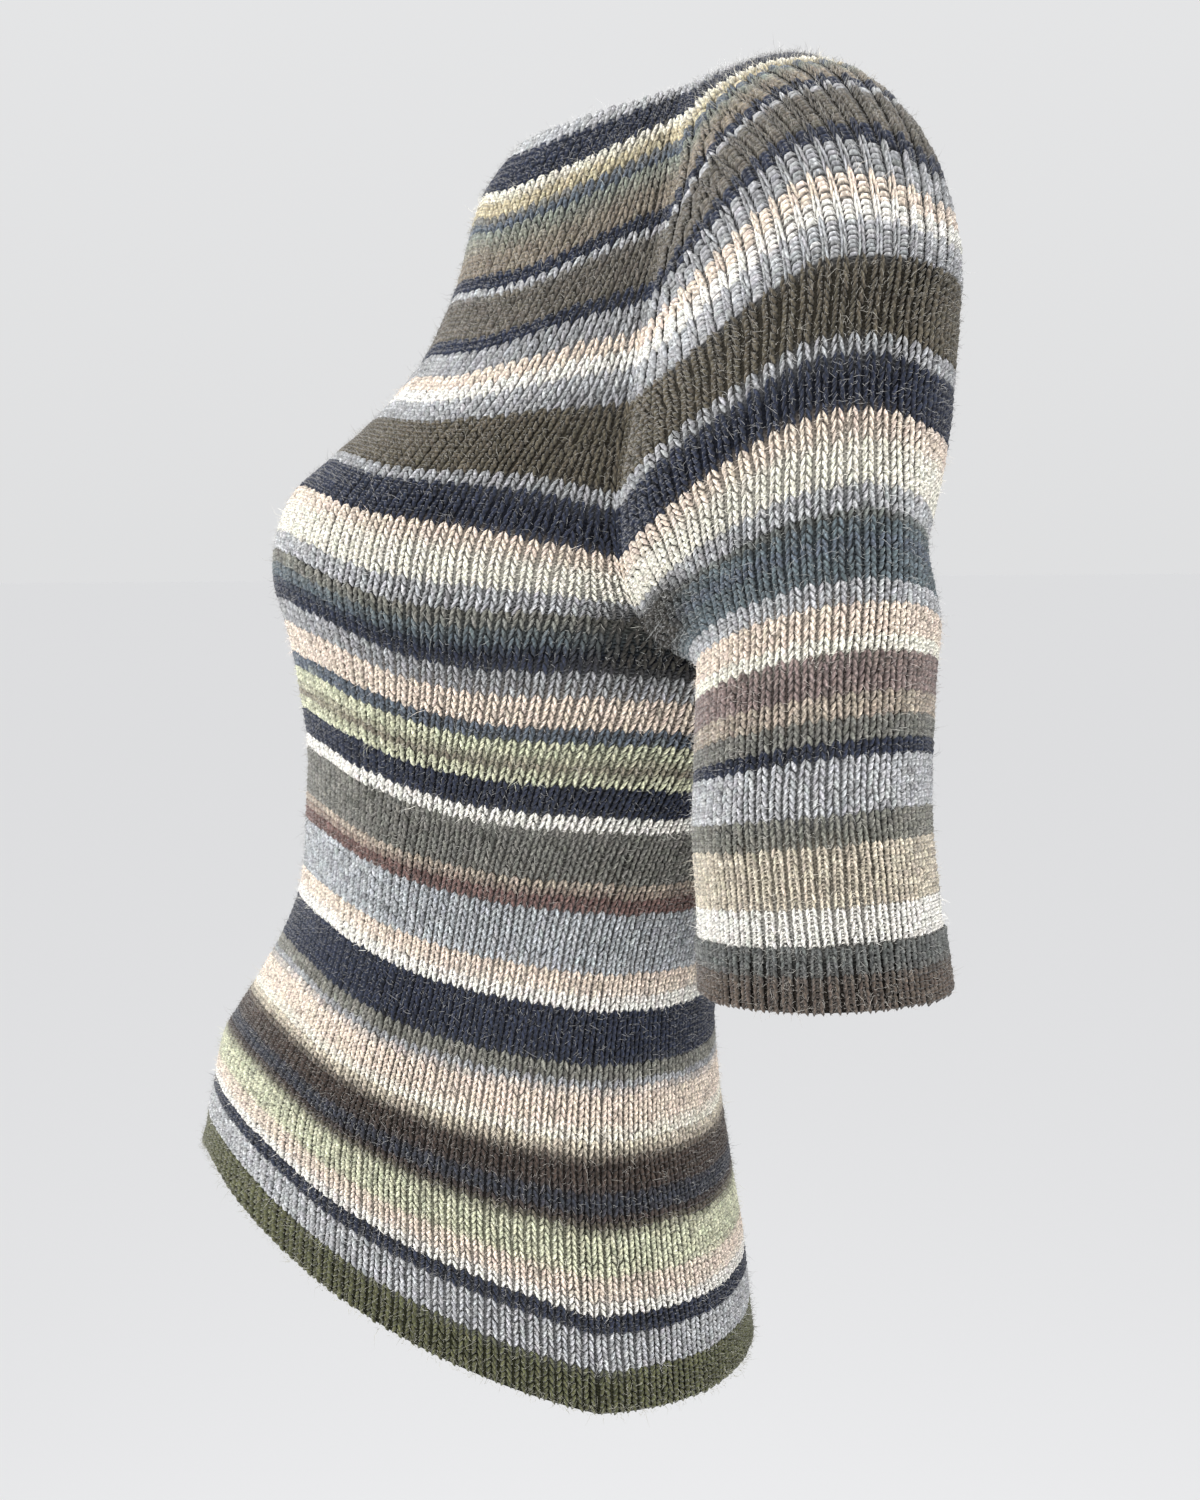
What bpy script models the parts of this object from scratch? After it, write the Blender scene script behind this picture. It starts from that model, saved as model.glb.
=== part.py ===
"""Hand-knitted striped pullover, worn on a general figure and hollow inside.

Metres, +Z up. The wearer faces -Y and the wearer's left is +X. The origin lies midway between the
shoulders, level with the front of the neck edge, where the yoke rests on the wearer.

It is knitted in the round from the neck down: the yoke grows at four raglan lines, then the body and
the two sleeves go on as tubes. A place on the cloth is a round, counted down from the neck, and a
wale, a column of stitches counted out from the middle of its piece. The wales stand up as ribs over
a plain inner face, and knit-one purl-one ribs cross the shoulders.
"""

import bmesh
import bpy
import numpy as np

# Gauge and cloth
WALL = 0.0030            # full thickness of the knitted cloth
WALE_RELIEF = 0.0009     # depth of the valley between two wales
RIB_RELIEF = 0.0017      # depth of a purl wale in the knit-one purl-one rib
SEAM_HALF_GAP = 0.00015  # each piece stops this far short of its seam
MITRE_MOST = 1.45        # longest mitre at a seam's crease, in wall thicknesses

# Rounds
UNDERARM = 70            # last round of the yoke
HEM = 180
CUFF_SEAM = 125
CUFF_EDGE = 134
RIB_ROUNDS = (5, 40)     # rounds between which the shoulders are ribbed
FADE_ROUNDS = 13         # rounds over which the underarm's form runs out into the tubes

# Wales
HALF_BODY = 36           # from the middle of the front, or of the back, to the side line
HALF_YOKE = 30           # of these, the ones that come down from the yoke
HALF_CAP = 21            # from the top of the sleeve to a raglan line, at the underarm
SLEEVE_WALES = 54        # all round a sleeve below the underarm
BODY_STITCHES = ((0, 17), (UNDERARM, HALF_YOKE))
CAP_STITCHES = ((0, 9), (16, HALF_CAP), (UNDERARM, HALF_CAP))

# Middle line of the front and of the back, neck to hem
MIDDLE = (
    ("round", "front_y", "front_z", "back_y", "back_z"),
    (0, -0.069, -0.004, 0.070, 0.027),
    (7, -0.085, -0.025, 0.078, 0.003),
    (19, -0.100, -0.073, 0.089, -0.043),
    (28, -0.115, -0.106, 0.095, -0.074),
    (37, -0.135, -0.131, 0.096, -0.108),
    (51, -0.163, -0.157, 0.089, -0.160),
    (59, -0.182, -0.174, 0.083, -0.190),
    (70, -0.194, -0.206, 0.074, -0.229),
    (84, -0.185, -0.257, 0.061, -0.286),
    (96, -0.179, -0.298, 0.044, -0.328),
    (109, -0.180, -0.343, 0.028, -0.374),
    (122, -0.185, -0.385, 0.019, -0.420),
    (134, -0.198, -0.420, 0.018, -0.461),
    (152, -0.217, -0.456, 0.022, -0.519),
    (164, -0.223, -0.479, 0.025, -0.555),
    (180, -0.228, -0.512, 0.028, -0.602),
)
# How far each yoke round has turned at its raglan lines, in degrees
YOKE_TURN = (
    ("round", "front_turn", "back_turn"),
    (0, 56, 48),
    (19, 60, 55),
    (37, 67, 66),
    (51, 73, 74),
    (70, 79, 82),
)
# The left raglan lines, front and back
RAGLAN = (
    ("round", "front_x", "front_y", "front_z", "back_x", "back_y", "back_z"),
    (0, 0.062, -0.005, 0.014, 0.064, 0.058, 0.027),
    (7, 0.072, -0.013, -0.003, 0.077, 0.068, 0.007),
    (19, 0.090, -0.026, -0.048, 0.095, 0.079, -0.031),
    (28, 0.105, -0.040, -0.085, 0.107, 0.082, -0.060),
    (37, 0.119, -0.051, -0.123, 0.119, 0.077, -0.098),
    (51, 0.134, -0.066, -0.178, 0.134, 0.055, -0.160),
    (59, 0.140, -0.067, -0.206, 0.140, 0.044, -0.193),
    (70, 0.144, -0.058, -0.234, 0.144, 0.028, -0.234),
)
# Sections of the body below the underarm: the side line, the section's turn about the figure's
# axis in degrees, how gently a round drops from the middle to the side (small is a quick drop),
# and how far the right hip pushes it forward
BODY_SECTION = (
    ("round", "side_x", "side_y", "side_z", "turn", "gentle", "hip"),
    (70, 0.145, -0.015, -0.236, 0, 0.15, 0.000),
    (84, 0.142, -0.030, -0.284, 3, 0.25, 0.000),
    (96, 0.134, -0.048, -0.323, 5, 0.35, 0.000),
    (109, 0.127, -0.064, -0.367, 8, 0.45, 0.000),
    (122, 0.128, -0.076, -0.411, 11, 0.50, 0.000),
    (134, 0.138, -0.086, -0.450, 14, 0.50, 0.003),
    (152, 0.154, -0.094, -0.506, 18, 0.45, 0.004),
    (164, 0.161, -0.096, -0.540, 20, 0.40, 0.001),
    (180, 0.167, -0.098, -0.584, 22, 0.15, 0.002),
)
HIP_ANGLE = -50          # in degrees from the section's own front
HIP_BREADTH = 35
# Top line of the left shoulder and then the outer line of the sleeve
OUTER_LINE = (
    ("round", "x", "y", "z"),
    (0, 0.086, 0.030, 0.025),
    (7, 0.112, 0.029, 0.016),
    (19, 0.158, 0.026, -0.007),
    (28, 0.194, 0.021, -0.037),
    (37, 0.218, 0.016, -0.074),
    (51, 0.236, 0.005, -0.122),
    (59, 0.240, 0.002, -0.152),
    (70, 0.242, 0.001, -0.188),
    (82, 0.241, -0.001, -0.222),
    (96, 0.240, -0.002, -0.265),
    (109, 0.240, -0.002, -0.306),
    (121, 0.243, 0.001, -0.343),
    (134, 0.246, 0.004, -0.382),
)
# How far each shoulder round has turned at its raglan lines, in degrees
CAP_TURN = (
    ("round", "turn"),
    (0, 55),
    (19, 72),
    (28, 84),
    (37, 95),
    (51, 108),
    (70, 116),
)
# Sections of the left sleeve below the underarm
SLEEVE_SECTION = (
    ("round", "inner_x", "inner_z", "half_depth"),
    (70, 0.1465, -0.236, 0.051),
    (82, 0.1465, -0.262, 0.050),
    (96, 0.1445, -0.297, 0.049),
    (109, 0.1440, -0.327, 0.050),
    (121, 0.1445, -0.360, 0.051),
    (134, 0.1460, -0.391, 0.053),
)

# Rounds at which the solids have a row of points
YOKE_ROWS = (0, 8, 18, 28, 38, 48, 57, 64, UNDERARM)
BODY_ROWS = (UNDERARM, 77, 88, 102, 118, 136, 157, HEM)
SLEEVE_ROWS = (UNDERARM, 80, 94, 109, CUFF_SEAM)
CUFF_ROWS = (CUFF_SEAM, 129.5, CUFF_EDGE)
INNER_PER_HALF = 12      # inner points from a piece's middle to its raglan line
SAMPLES = 97             # points that a round is drawn with before it is divided into wales

# The cuff band stands proud of the sleeve
CUFF_STEP = 0.0016
CUFF_WALL = 0.0042
CUFF_CLEAR = 0.09        # in rounds, from the sleeve's end to the band

COLOURS = {
    "front": (0.62, 0.55, 0.47),
    "back": (0.46, 0.44, 0.42),
    "sleeve": (0.33, 0.36, 0.40),
    "cuff": (0.20, 0.17, 0.15),
}


def read(table, rounds):
    """The table's columns at the given rounds, on a smooth curve through its rows."""
    names, rows = table[0], np.array(table[1:], float)
    knots, values = rows[:, 0], rows[:, 1:]
    rounds = np.clip(np.asarray(rounds, float), knots[0], knots[-1])
    i = np.clip(np.searchsorted(knots, rounds, side="right") - 1, 0, len(knots) - 2)
    slopes = np.gradient(values, knots, axis=0)
    step = (knots[i + 1] - knots[i])[..., None]
    t = (rounds - knots[i])[..., None] / step
    curve = (
        (2 * t**3 - 3 * t**2 + 1) * values[i]
        + (t**3 - 2 * t**2 + t) * step * slopes[i]
        + (3 * t**2 - 2 * t**3) * values[i + 1]
        + (t**3 - t**2) * step * slopes[i + 1]
    )
    return {name: curve[..., k] for k, name in enumerate(names[1:])}


def half_stitches(counts, rounds):
    """Wales from the middle of a yoke piece to its raglan line."""
    knots, values = zip(*counts)
    return np.interp(rounds, knots, values)


def drop(share, gentle):
    """0 at the middle of a round and 1 at its end, smooth across the middle."""
    return (np.sqrt(share**2 + gentle**2) - gentle) / (np.sqrt(1 + gentle**2) - gentle)


def fade(rounds):
    """1 at the underarm, easing to 0 over FADE_ROUNDS."""
    t = np.clip((rounds - UNDERARM) / FADE_ROUNDS, 0, 1)
    return 1 - t * t * (3 - 2 * t)


def divided(points, first, last):
    """The wale number of each point along a round, evenly by length from first to last."""
    lengths = np.linalg.norm(np.diff(points, axis=0), axis=1)
    run = np.concatenate([[0], np.cumsum(lengths)])
    return first + (last - first) * run / run[-1]


def at_wales(points, numbers, wales):
    """The places of the given wales on a round whose points have these wale numbers."""
    return np.stack([np.interp(wales, numbers, points[:, k]) for k in range(3)], axis=-1)


def yoke_arc(side, round_):
    """The front's or the back's part of a yoke round, from the right raglan line to the left."""
    share = np.linspace(-1, 1, SAMPLES)
    middle, raglan = read(MIDDLE, round_), read(RAGLAN, round_)
    turn = np.radians(read(YOKE_TURN, round_)[side + "_turn"])
    gentle = np.interp(round_, (0, 35, UNDERARM), (1.2, 0.6, 0.15))
    x = raglan[side + "_x"] * np.sin(turn * share) / np.sin(turn)
    inward = (1 - np.cos(turn * share)) / (1 - np.cos(turn))
    y = middle[side + "_y"] + (raglan[side + "_y"] - middle[side + "_y"]) * inward
    z = middle[side + "_z"] + (raglan[side + "_z"] - middle[side + "_z"]) * drop(share, gentle)
    return np.stack([x, y, z], axis=-1)


def body_ring(side, round_):
    """The front or back half of a body round, from the right side line to the left."""
    angle = np.radians(np.linspace(-90, 90, SAMPLES))
    middle, section = read(MIDDLE, round_), read(BODY_SECTION, round_)
    turn = np.radians(section["turn"])
    if side == "back":
        angle = np.pi - angle
    swung = angle - turn
    reach = np.where(np.cos(swung) > 0, middle["front_y"], middle["back_y"]) - section["side_y"]
    hip = section["hip"] * np.exp(-(((np.degrees(swung) - HIP_ANGLE) / HIP_BREADTH) ** 2))
    x = (section["side_x"] + hip) * np.sin(swung)
    y = section["side_y"] + reach * np.abs(np.cos(swung)) - hip * np.cos(swung)
    centre = (middle["front_y"] + middle["back_y"]) / 2
    across = x * np.cos(turn) - (y - centre) * np.sin(turn)
    along = centre + x * np.sin(turn) + (y - centre) * np.cos(turn)
    share = np.linspace(-1, 1, SAMPLES)
    level = middle[side + "_z"]
    z = level + (section["side_z"] - level) * drop(share, section["gentle"])
    return np.stack([across, along, z], axis=-1)


def underarm_line(start_side):
    """The left underarm at the last yoke round, between the raglan lines."""
    raglan = read(RAGLAN, UNDERARM)
    side = read(BODY_SECTION, UNDERARM)
    share = np.linspace(-1, 1, SAMPLES)
    front = np.array([raglan["front_x"], raglan["front_y"], raglan["front_z"]])
    back = np.array([raglan["back_x"], raglan["back_y"], raglan["back_z"]])
    bow = np.array([float(side["side_x"]) - front[0], 0, float(side["side_z"]) - front[2]])
    line = (front + back) / 2 + np.outer(share, (back - front) / 2) + np.outer(1 - share**2, bow)
    return line if start_side == "front" else line[::-1]


def last_yoke_round(side):
    """Round UNDERARM of the front or back with its half of each underarm: points and wale numbers."""
    arc = yoke_arc(side, UNDERARM)
    left = underarm_line(side)[: SAMPLES // 2 + 1]
    right = left[::-1] * (-1, 1, 1)
    points = np.concatenate([right[:-1], arc, left[1:]])
    numbers = np.concatenate(
        [
            divided(right, -HALF_BODY, -HALF_YOKE)[:-1],
            divided(arc, -HALF_YOKE, HALF_YOKE),
            divided(left, HALF_YOKE, HALF_BODY)[1:],
        ]
    )
    return points, numbers


def body_places(side, round_, wales):
    """Where the front's or the back's wales lie on a round."""
    if round_ < UNDERARM:
        arc = yoke_arc(side, round_)
        reach = float(half_stitches(BODY_STITCHES, round_))
        return at_wales(arc, divided(arc, -reach, reach), np.clip(wales, -reach, reach))
    ring = body_ring(side, round_)
    places = at_wales(ring, divided(ring, -HALF_BODY, HALF_BODY), wales)
    share = fade(round_)
    if share > 0:
        top = body_ring(side, UNDERARM)
        plain = at_wales(top, divided(top, -HALF_BODY, HALF_BODY), wales)
        places = places + (at_wales(*last_yoke_round(side), wales) - plain) * share
    return places


def cap_arc(round_):
    """The left sleeve's part of a yoke round, from the front raglan line over the top to the back."""
    share = np.linspace(-1, 1, SAMPLES)[:, None]
    raglan, top = read(RAGLAN, round_), read(OUTER_LINE, round_)
    turn = np.radians(float(read(CAP_TURN, round_)["turn"]))
    front = np.array([raglan["front_x"], raglan["front_y"], raglan["front_z"]])
    back = np.array([raglan["back_x"], raglan["back_y"], raglan["back_z"]])
    peak = np.array([top["x"], top["y"], top["z"]])
    chord = (front + back) / 2
    bulge = (np.cos(turn * share) - np.cos(turn)) / (1 - np.cos(turn))
    return chord + (back - front) / 2 * np.sin(turn * share) / np.sin(turn) + (peak - chord) * bulge


def sleeve_ring(round_):
    """A round of the left sleeve below the underarm, from its inner line round by the front."""
    angle = np.radians(np.linspace(-180, 180, 2 * SAMPLES - 1))
    outer, section = read(OUTER_LINE, round_), read(SLEEVE_SECTION, round_)
    x = (outer["x"] + section["inner_x"]) / 2 + (outer["x"] - section["inner_x"]) / 2 * np.cos(angle)
    y = outer["y"] + section["half_depth"] * np.sin(angle)
    z = (outer["z"] + section["inner_z"]) / 2 + (outer["z"] - section["inner_z"]) / 2 * np.cos(angle)
    return np.stack([x, y, z], axis=-1)


def last_cap_round():
    """Round UNDERARM of the left sleeve with its underarm: points and wale numbers."""
    arc = cap_arc(UNDERARM)
    under = underarm_line("back") + (2 * SEAM_HALF_GAP, 0, 0)
    half = SAMPLES // 2
    rest = SLEEVE_WALES / 2
    points = np.concatenate([under[half:-1], arc, under[1 : half + 1]])
    numbers = np.concatenate(
        [
            divided(under[half:], -rest, -HALF_CAP)[:-1],
            divided(arc, -HALF_CAP, HALF_CAP),
            divided(under[: half + 1], HALF_CAP, rest)[1:],
        ]
    )
    return points, numbers


def sleeve_places(round_, wales):
    """Where the left sleeve's wales lie on a round. Wale 0 runs over the top of the shoulder."""
    if round_ < UNDERARM:
        arc = cap_arc(round_)
        reach = float(half_stitches(CAP_STITCHES, round_))
        return at_wales(arc, divided(arc, -reach, reach), np.clip(wales, -reach, reach))
    rest = SLEEVE_WALES / 2
    wales = (np.asarray(wales, float) + rest) % SLEEVE_WALES - rest
    ring = sleeve_ring(round_)
    places = at_wales(ring, divided(ring, -rest, rest), wales)
    share = fade(round_)
    if share > 0:
        top = sleeve_ring(UNDERARM)
        plain = at_wales(top, divided(top, -rest, rest), wales)
        places = places + (at_wales(*last_cap_round(), wales) - plain) * share
    return places


def unit(vectors):
    return vectors / np.linalg.norm(vectors, axis=-1, keepdims=True)


def outward(places, round_, wales, first_round, last_round):
    """The cloth's outward direction at these wales of a round."""
    aside, below = 0.3, 0.6
    wales = np.asarray(wales, float)
    along = places(round_, wales + aside) - places(round_, wales - aside)
    upper, lower = max(first_round, round_ - below), min(last_round, round_ + below)
    down = places(lower, wales) - places(upper, wales)
    return unit(np.cross(down, along))


def body_reach(round_):
    """Wales from the middle of the front or back to its edge."""
    return HALF_BODY if round_ >= UNDERARM else float(half_stitches(BODY_STITCHES, round_))


def body_outward(side, round_, wales):
    wales = np.clip(wales, -body_reach(round_) + 0.3, body_reach(round_) - 0.3)
    first = UNDERARM if round_ == UNDERARM else 0
    sign = 1 if side == "front" else -1
    return sign * outward(lambda r, w: body_places(side, r, w), round_, wales, first, HEM)


def sleeve_outward(round_, wales):
    if round_ < UNDERARM:
        reach = float(half_stitches(CAP_STITCHES, round_))
        wales = np.clip(wales, -reach + 0.3, reach - 0.3)
        return outward(sleeve_places, round_, wales, 0, UNDERARM - 0.01)
    return outward(sleeve_places, round_, wales, UNDERARM, CUFF_EDGE)


def seam_outward(side, round_):
    """The direction in which both walls end at the left raglan line, as long as their mitre."""
    reach = float(half_stitches(BODY_STITCHES, round_))
    cap = float(half_stitches(CAP_STITCHES, round_))
    near = round_ if round_ < UNDERARM else UNDERARM - 0.01
    ours = body_outward(side, near, np.array([reach]))[0]
    theirs = sleeve_outward(near, np.array([-cap if side == "front" else cap]))[0]
    both = unit(ours + theirs)
    return both * min(MITRE_MOST, 1 / max(np.dot(both, ours), 0.1))


def relief(round_, wales, ribbed):
    """Depth below the rib crests: halves are crests, whole numbers valleys, and odd ribs are purl."""
    valley = np.isclose(wales, np.round(wales))
    depth = np.where(valley, WALE_RELIEF, 0.0)
    if ribbed and RIB_ROUNDS[0] <= round_ <= RIB_ROUNDS[1]:
        purl = np.floor(wales) % 2 == 1
        depth = np.where(valley, RIB_RELIEF / 2, np.where(purl, RIB_RELIEF, 0.0))
    return depth


class Shell:
    """Points and faces of one closed piece of cloth."""

    def __init__(self):
        self.points = []
        self.faces = []

    def row(self, places):
        first = len(self.points)
        self.points.extend(map(tuple, places))
        return list(range(first, len(self.points)))

    def face(self, *corners):
        kept = [c for k, c in enumerate(corners) if c != corners[k - 1]]
        if len(kept) >= 3 and len(set(kept)) == len(kept):
            self.faces.append(kept)

    def strip(self, upper, lower):
        """Quads between two rows of equally many points."""
        for k in range(len(upper) - 1):
            self.face(upper[k], upper[k + 1], lower[k + 1], lower[k])

    def rim(self, outer, inner):
        """Triangles between an outer and an inner edge that may have unlike numbers of points."""
        i = j = 0
        while i < len(outer) - 1 or j < len(inner) - 1:
            ahead = (i + 1) / (len(outer) - 1) <= (j + 1) / (len(inner) - 1)
            if i < len(outer) - 1 and (ahead or j == len(inner) - 1):
                self.face(outer[i], outer[i + 1], inner[j])
                i += 1
            else:
                self.face(outer[i], inner[j + 1], inner[j])
                j += 1


def repeated(ids, wales, reach):
    """A row's point numbers for a wider row, whose extra wales end in this row's two edges."""
    index = {round(2 * w): i for w, i in zip(reach, ids)}
    least, most = min(index), max(index)
    return [index[min(max(round(2 * w), least), most)] for w in wales]


def outer_wales(reach):
    """Crests and valleys from edge to edge."""
    return np.arange(-round(2 * reach), round(2 * reach) + 1) / 2


def inner_wales(reach):
    return np.linspace(-reach, reach, 2 * INNER_PER_HALF + 1)


def stepped_reach(counts, round_):
    """The yoke piece's half width in whole halves of a wale."""
    return round(2 * float(half_stitches(counts, round_))) / 2


def trimmed(places, ends=(0, -1)):
    """The row with its end points drawn in by the seam's gap."""
    places = places.copy()
    for end, beside in ((0, 1), (-1, -2)):
        if end in ends:
            places[end] += unit(places[beside] - places[end]) * SEAM_HALF_GAP
    return places


def body_row(side, round_, wales, depth, seams):
    """A row of points at these wales, sunk by depth, that ends at 'raglan' or at 'side' seams."""
    places = body_places(side, round_, wales)
    normals = body_outward(side, round_, wales)
    if seams == "raglan":
        own = max(0.0, (round_ - (UNDERARM - 11)) / 11)
        shared = seam_outward(side, round_)
        edge = shared * (1 - own) + normals[-1] * own
        normals[-1], normals[0] = edge, edge * (-1, 1, 1)
    else:
        ends = np.array([-HALF_BODY, HALF_BODY])
        both = body_outward("front", round_, ends) + body_outward("back", round_, ends)
        normals[[0, -1]] = unit(both)
    return trimmed(places) - normals * np.asarray(depth)[..., None]


def body_panel(side):
    """The front or the back: yoke, body, and the plain inner face."""
    shell = Shell()
    outer, inner = [], []
    for round_ in YOKE_ROWS[:-1]:
        reach = stepped_reach(BODY_STITCHES, round_)
        scale = float(half_stitches(BODY_STITCHES, round_)) / reach
        wales = outer_wales(reach)
        depth = relief(round_, wales, False)
        depth[[0, -1]] = 0
        outer.append((wales, shell.row(body_row(side, round_, wales * scale, depth, "raglan"))))
        wales = inner_wales(reach)
        inner.append(shell.row(body_row(side, round_, wales * scale, np.full(len(wales), WALL), "raglan")))
    wide_inner = np.concatenate(
        [(-36, -34, -32), inner_wales(HALF_YOKE), (32, 34, 36)]
    ).astype(float)
    body_outer, body_inner = [], []
    for round_ in BODY_ROWS:
        wales = outer_wales(HALF_BODY)
        depth = relief(round_, wales, False)
        depth[[0, -1]] = 0
        body_outer.append(shell.row(body_row(side, round_, wales, depth, "side")))
        depth = np.full(len(wide_inner), WALL)
        body_inner.append(shell.row(body_row(side, round_, wide_inner, depth, "side")))
    # the yoke's last row is the middle of the body's first
    over = 2 * (HALF_BODY - HALF_YOKE)
    outer.append((outer_wales(HALF_YOKE), body_outer[0][over:-over]))
    inner.append(body_inner[0][3:-3])
    for (wales, ids), (next_wales, next_ids) in zip(outer, outer[1:]):
        shell.strip(repeated(ids, next_wales, wales), next_ids)
    for upper, lower in zip(inner, inner[1:]):
        shell.strip(lower, upper)
    for upper, lower in zip(body_outer, body_outer[1:]):
        shell.strip(upper, lower)
    for upper, lower in zip(body_inner, body_inner[1:]):
        shell.strip(lower, upper)
    shell.rim(outer[0][1], inner[0])
    shell.rim(body_outer[-1], body_inner[-1])
    for end in (0, -1):
        shell.strip([ids[end] for _, ids in outer], [ids[end] for ids in inner])
        shell.strip([ids[end] for ids in body_outer], [ids[end] for ids in body_inner])
    shell.rim(body_outer[0][: over + 1], body_inner[0][:4])
    shell.rim(body_outer[0][-over - 1 :], body_inner[0][-4:])
    return shell


def sleeve_row(round_, wales, depth):
    places = sleeve_places(round_, wales)
    normals = sleeve_outward(round_, wales)
    return places, normals, np.asarray(depth)[..., None]


def cap_row(round_, wales, depth):
    """A row of the sleeve above the underarm, ending in the mitre of each raglan line."""
    places, normals, depth = sleeve_row(round_, wales, depth)
    own = max(0.0, (round_ - (UNDERARM - 11)) / 11)
    for end, side in ((0, "front"), (-1, "back")):
        normals[end] = seam_outward(side, round_) * (1 - own) + normals[end] * own
    return trimmed(places) - normals * depth


def tube_row(round_, wales, depth):
    places, normals, depth = sleeve_row(round_, wales, depth)
    return places - normals * depth


def closed(ids):
    return ids + ids[:1]


def sleeve_piece():
    """The left sleeve: the shoulder's part of the yoke, then the tube down to the cuff band."""
    shell = Shell()
    outer, inner = [], []
    for round_ in YOKE_ROWS[:-1]:
        reach = stepped_reach(CAP_STITCHES, round_)
        scale = float(half_stitches(CAP_STITCHES, round_)) / reach
        wales = outer_wales(reach)
        depth = relief(round_, wales, True)
        depth[[0, -1]] = 0
        outer.append((wales, shell.row(cap_row(round_, wales * scale, depth))))
        wales = inner_wales(reach)
        inner.append(shell.row(cap_row(round_, wales * scale, np.full(len(wales), WALL))))
    rest = SLEEVE_WALES / 2
    around = outer_wales(rest)[:-1]
    under = rest - HALF_CAP
    inner_around = np.concatenate(
        [(-rest, -rest + under / 3, -rest + 2 * under / 3), inner_wales(HALF_CAP),
         (HALF_CAP + under / 3, HALF_CAP + 2 * under / 3)]
    )
    tube_outer, tube_inner = [], []
    for round_ in SLEEVE_ROWS:
        tube_outer.append(shell.row(tube_row(round_, around, relief(round_, around, False))))
        tube_inner.append(shell.row(tube_row(round_, inner_around, np.full(len(inner_around), WALL))))
    over = round(2 * under)
    outer.append((outer_wales(HALF_CAP), tube_outer[0][over : len(around) - over + 1]))
    inner.append(tube_inner[0][3:-2])
    for (wales, ids), (next_wales, next_ids) in zip(outer, outer[1:]):
        shell.strip(repeated(ids, next_wales, wales), next_ids)
    for upper, lower in zip(inner, inner[1:]):
        shell.strip(lower, upper)
    for upper, lower in zip(tube_outer, tube_outer[1:]):
        shell.strip(closed(upper), closed(lower))
    for upper, lower in zip(tube_inner, tube_inner[1:]):
        shell.strip(closed(lower), closed(upper))
    shell.rim(outer[0][1], inner[0])
    for end in (0, -1):
        shell.strip([ids[end] for _, ids in outer], [ids[end] for ids in inner])
    shell.rim(closed(tube_outer[-1]), closed(tube_inner[-1]))
    outer_under = tube_outer[0][-over:] + tube_outer[0][: over + 1]
    inner_under = tube_inner[0][-3:] + tube_inner[0][:4]
    shell.rim(outer_under, inner_under)
    return shell


def cuff_band():
    """The left cuff band, a firmer and slightly wider ring below the sleeve."""
    shell = Shell()
    rest = SLEEVE_WALES / 2
    around = outer_wales(rest)[:-1]
    inner_around = np.linspace(-rest, rest, 2 * INNER_PER_HALF + 1)[:-1]
    first, last = CUFF_ROWS[0] + CUFF_CLEAR, CUFF_ROWS[-1]
    outer, inner = [], []
    for round_ in (first, *CUFF_ROWS[1:-1], last):
        depth = relief(round_, around, False) - CUFF_STEP
        outer.append(shell.row(tube_row(round_, around, depth)))
        depth = np.full(len(inner_around), CUFF_WALL - CUFF_STEP)
        inner.append(shell.row(tube_row(round_, inner_around, depth)))
    for upper, lower in zip(outer, outer[1:]):
        shell.strip(closed(upper), closed(lower))
    for upper, lower in zip(inner, inner[1:]):
        shell.strip(closed(lower), closed(upper))
    shell.rim(closed(outer[0]), closed(inner[0]))
    shell.rim(closed(outer[-1]), closed(inner[-1]))
    return shell


def cloth_material(name, colour):
    material = bpy.data.materials.new(name)
    material.use_nodes = True
    surface = material.node_tree.nodes["Principled BSDF"]
    surface.inputs["Base Color"].default_value = (*colour, 1)
    surface.inputs["Roughness"].default_value = 0.9
    surface.inputs["Metallic"].default_value = 0.0
    return material


def make_object(name, shell, material, mirrored=False):
    points = [(-x, y, z) if mirrored else (x, y, z) for x, y, z in shell.points]
    mesh = bpy.data.meshes.new(name)
    mesh.from_pydata(points, [], shell.faces)
    solid = bmesh.new()
    solid.from_mesh(mesh)
    bmesh.ops.delete(solid, geom=[v for v in solid.verts if not v.link_faces], context="VERTS")
    bmesh.ops.triangulate(solid, faces=solid.faces)
    bmesh.ops.recalc_face_normals(solid, faces=solid.faces)
    solid.to_mesh(mesh)
    solid.free()
    mesh.shade_smooth()
    mesh.set_sharp_from_angle(angle=np.radians(50))
    mesh.materials.append(material)
    obj = bpy.data.objects.new(name, mesh)
    bpy.context.scene.collection.objects.link(obj)
    return obj


def clear_scene():
    for obj in list(bpy.data.objects):
        bpy.data.objects.remove(obj)


def main():
    clear_scene()
    cloth = {name: cloth_material("knit_" + name, colour) for name, colour in COLOURS.items()}
    make_object("front", body_panel("front"), cloth["front"])
    make_object("back", body_panel("back"), cloth["back"])
    sleeve, band = sleeve_piece(), cuff_band()
    for side, mirrored in (("left", False), ("right", True)):
        make_object("sleeve_" + side, sleeve, cloth["sleeve"], mirrored)
        make_object("cuff_" + side, band, cloth["cuff"], mirrored)


main()
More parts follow.
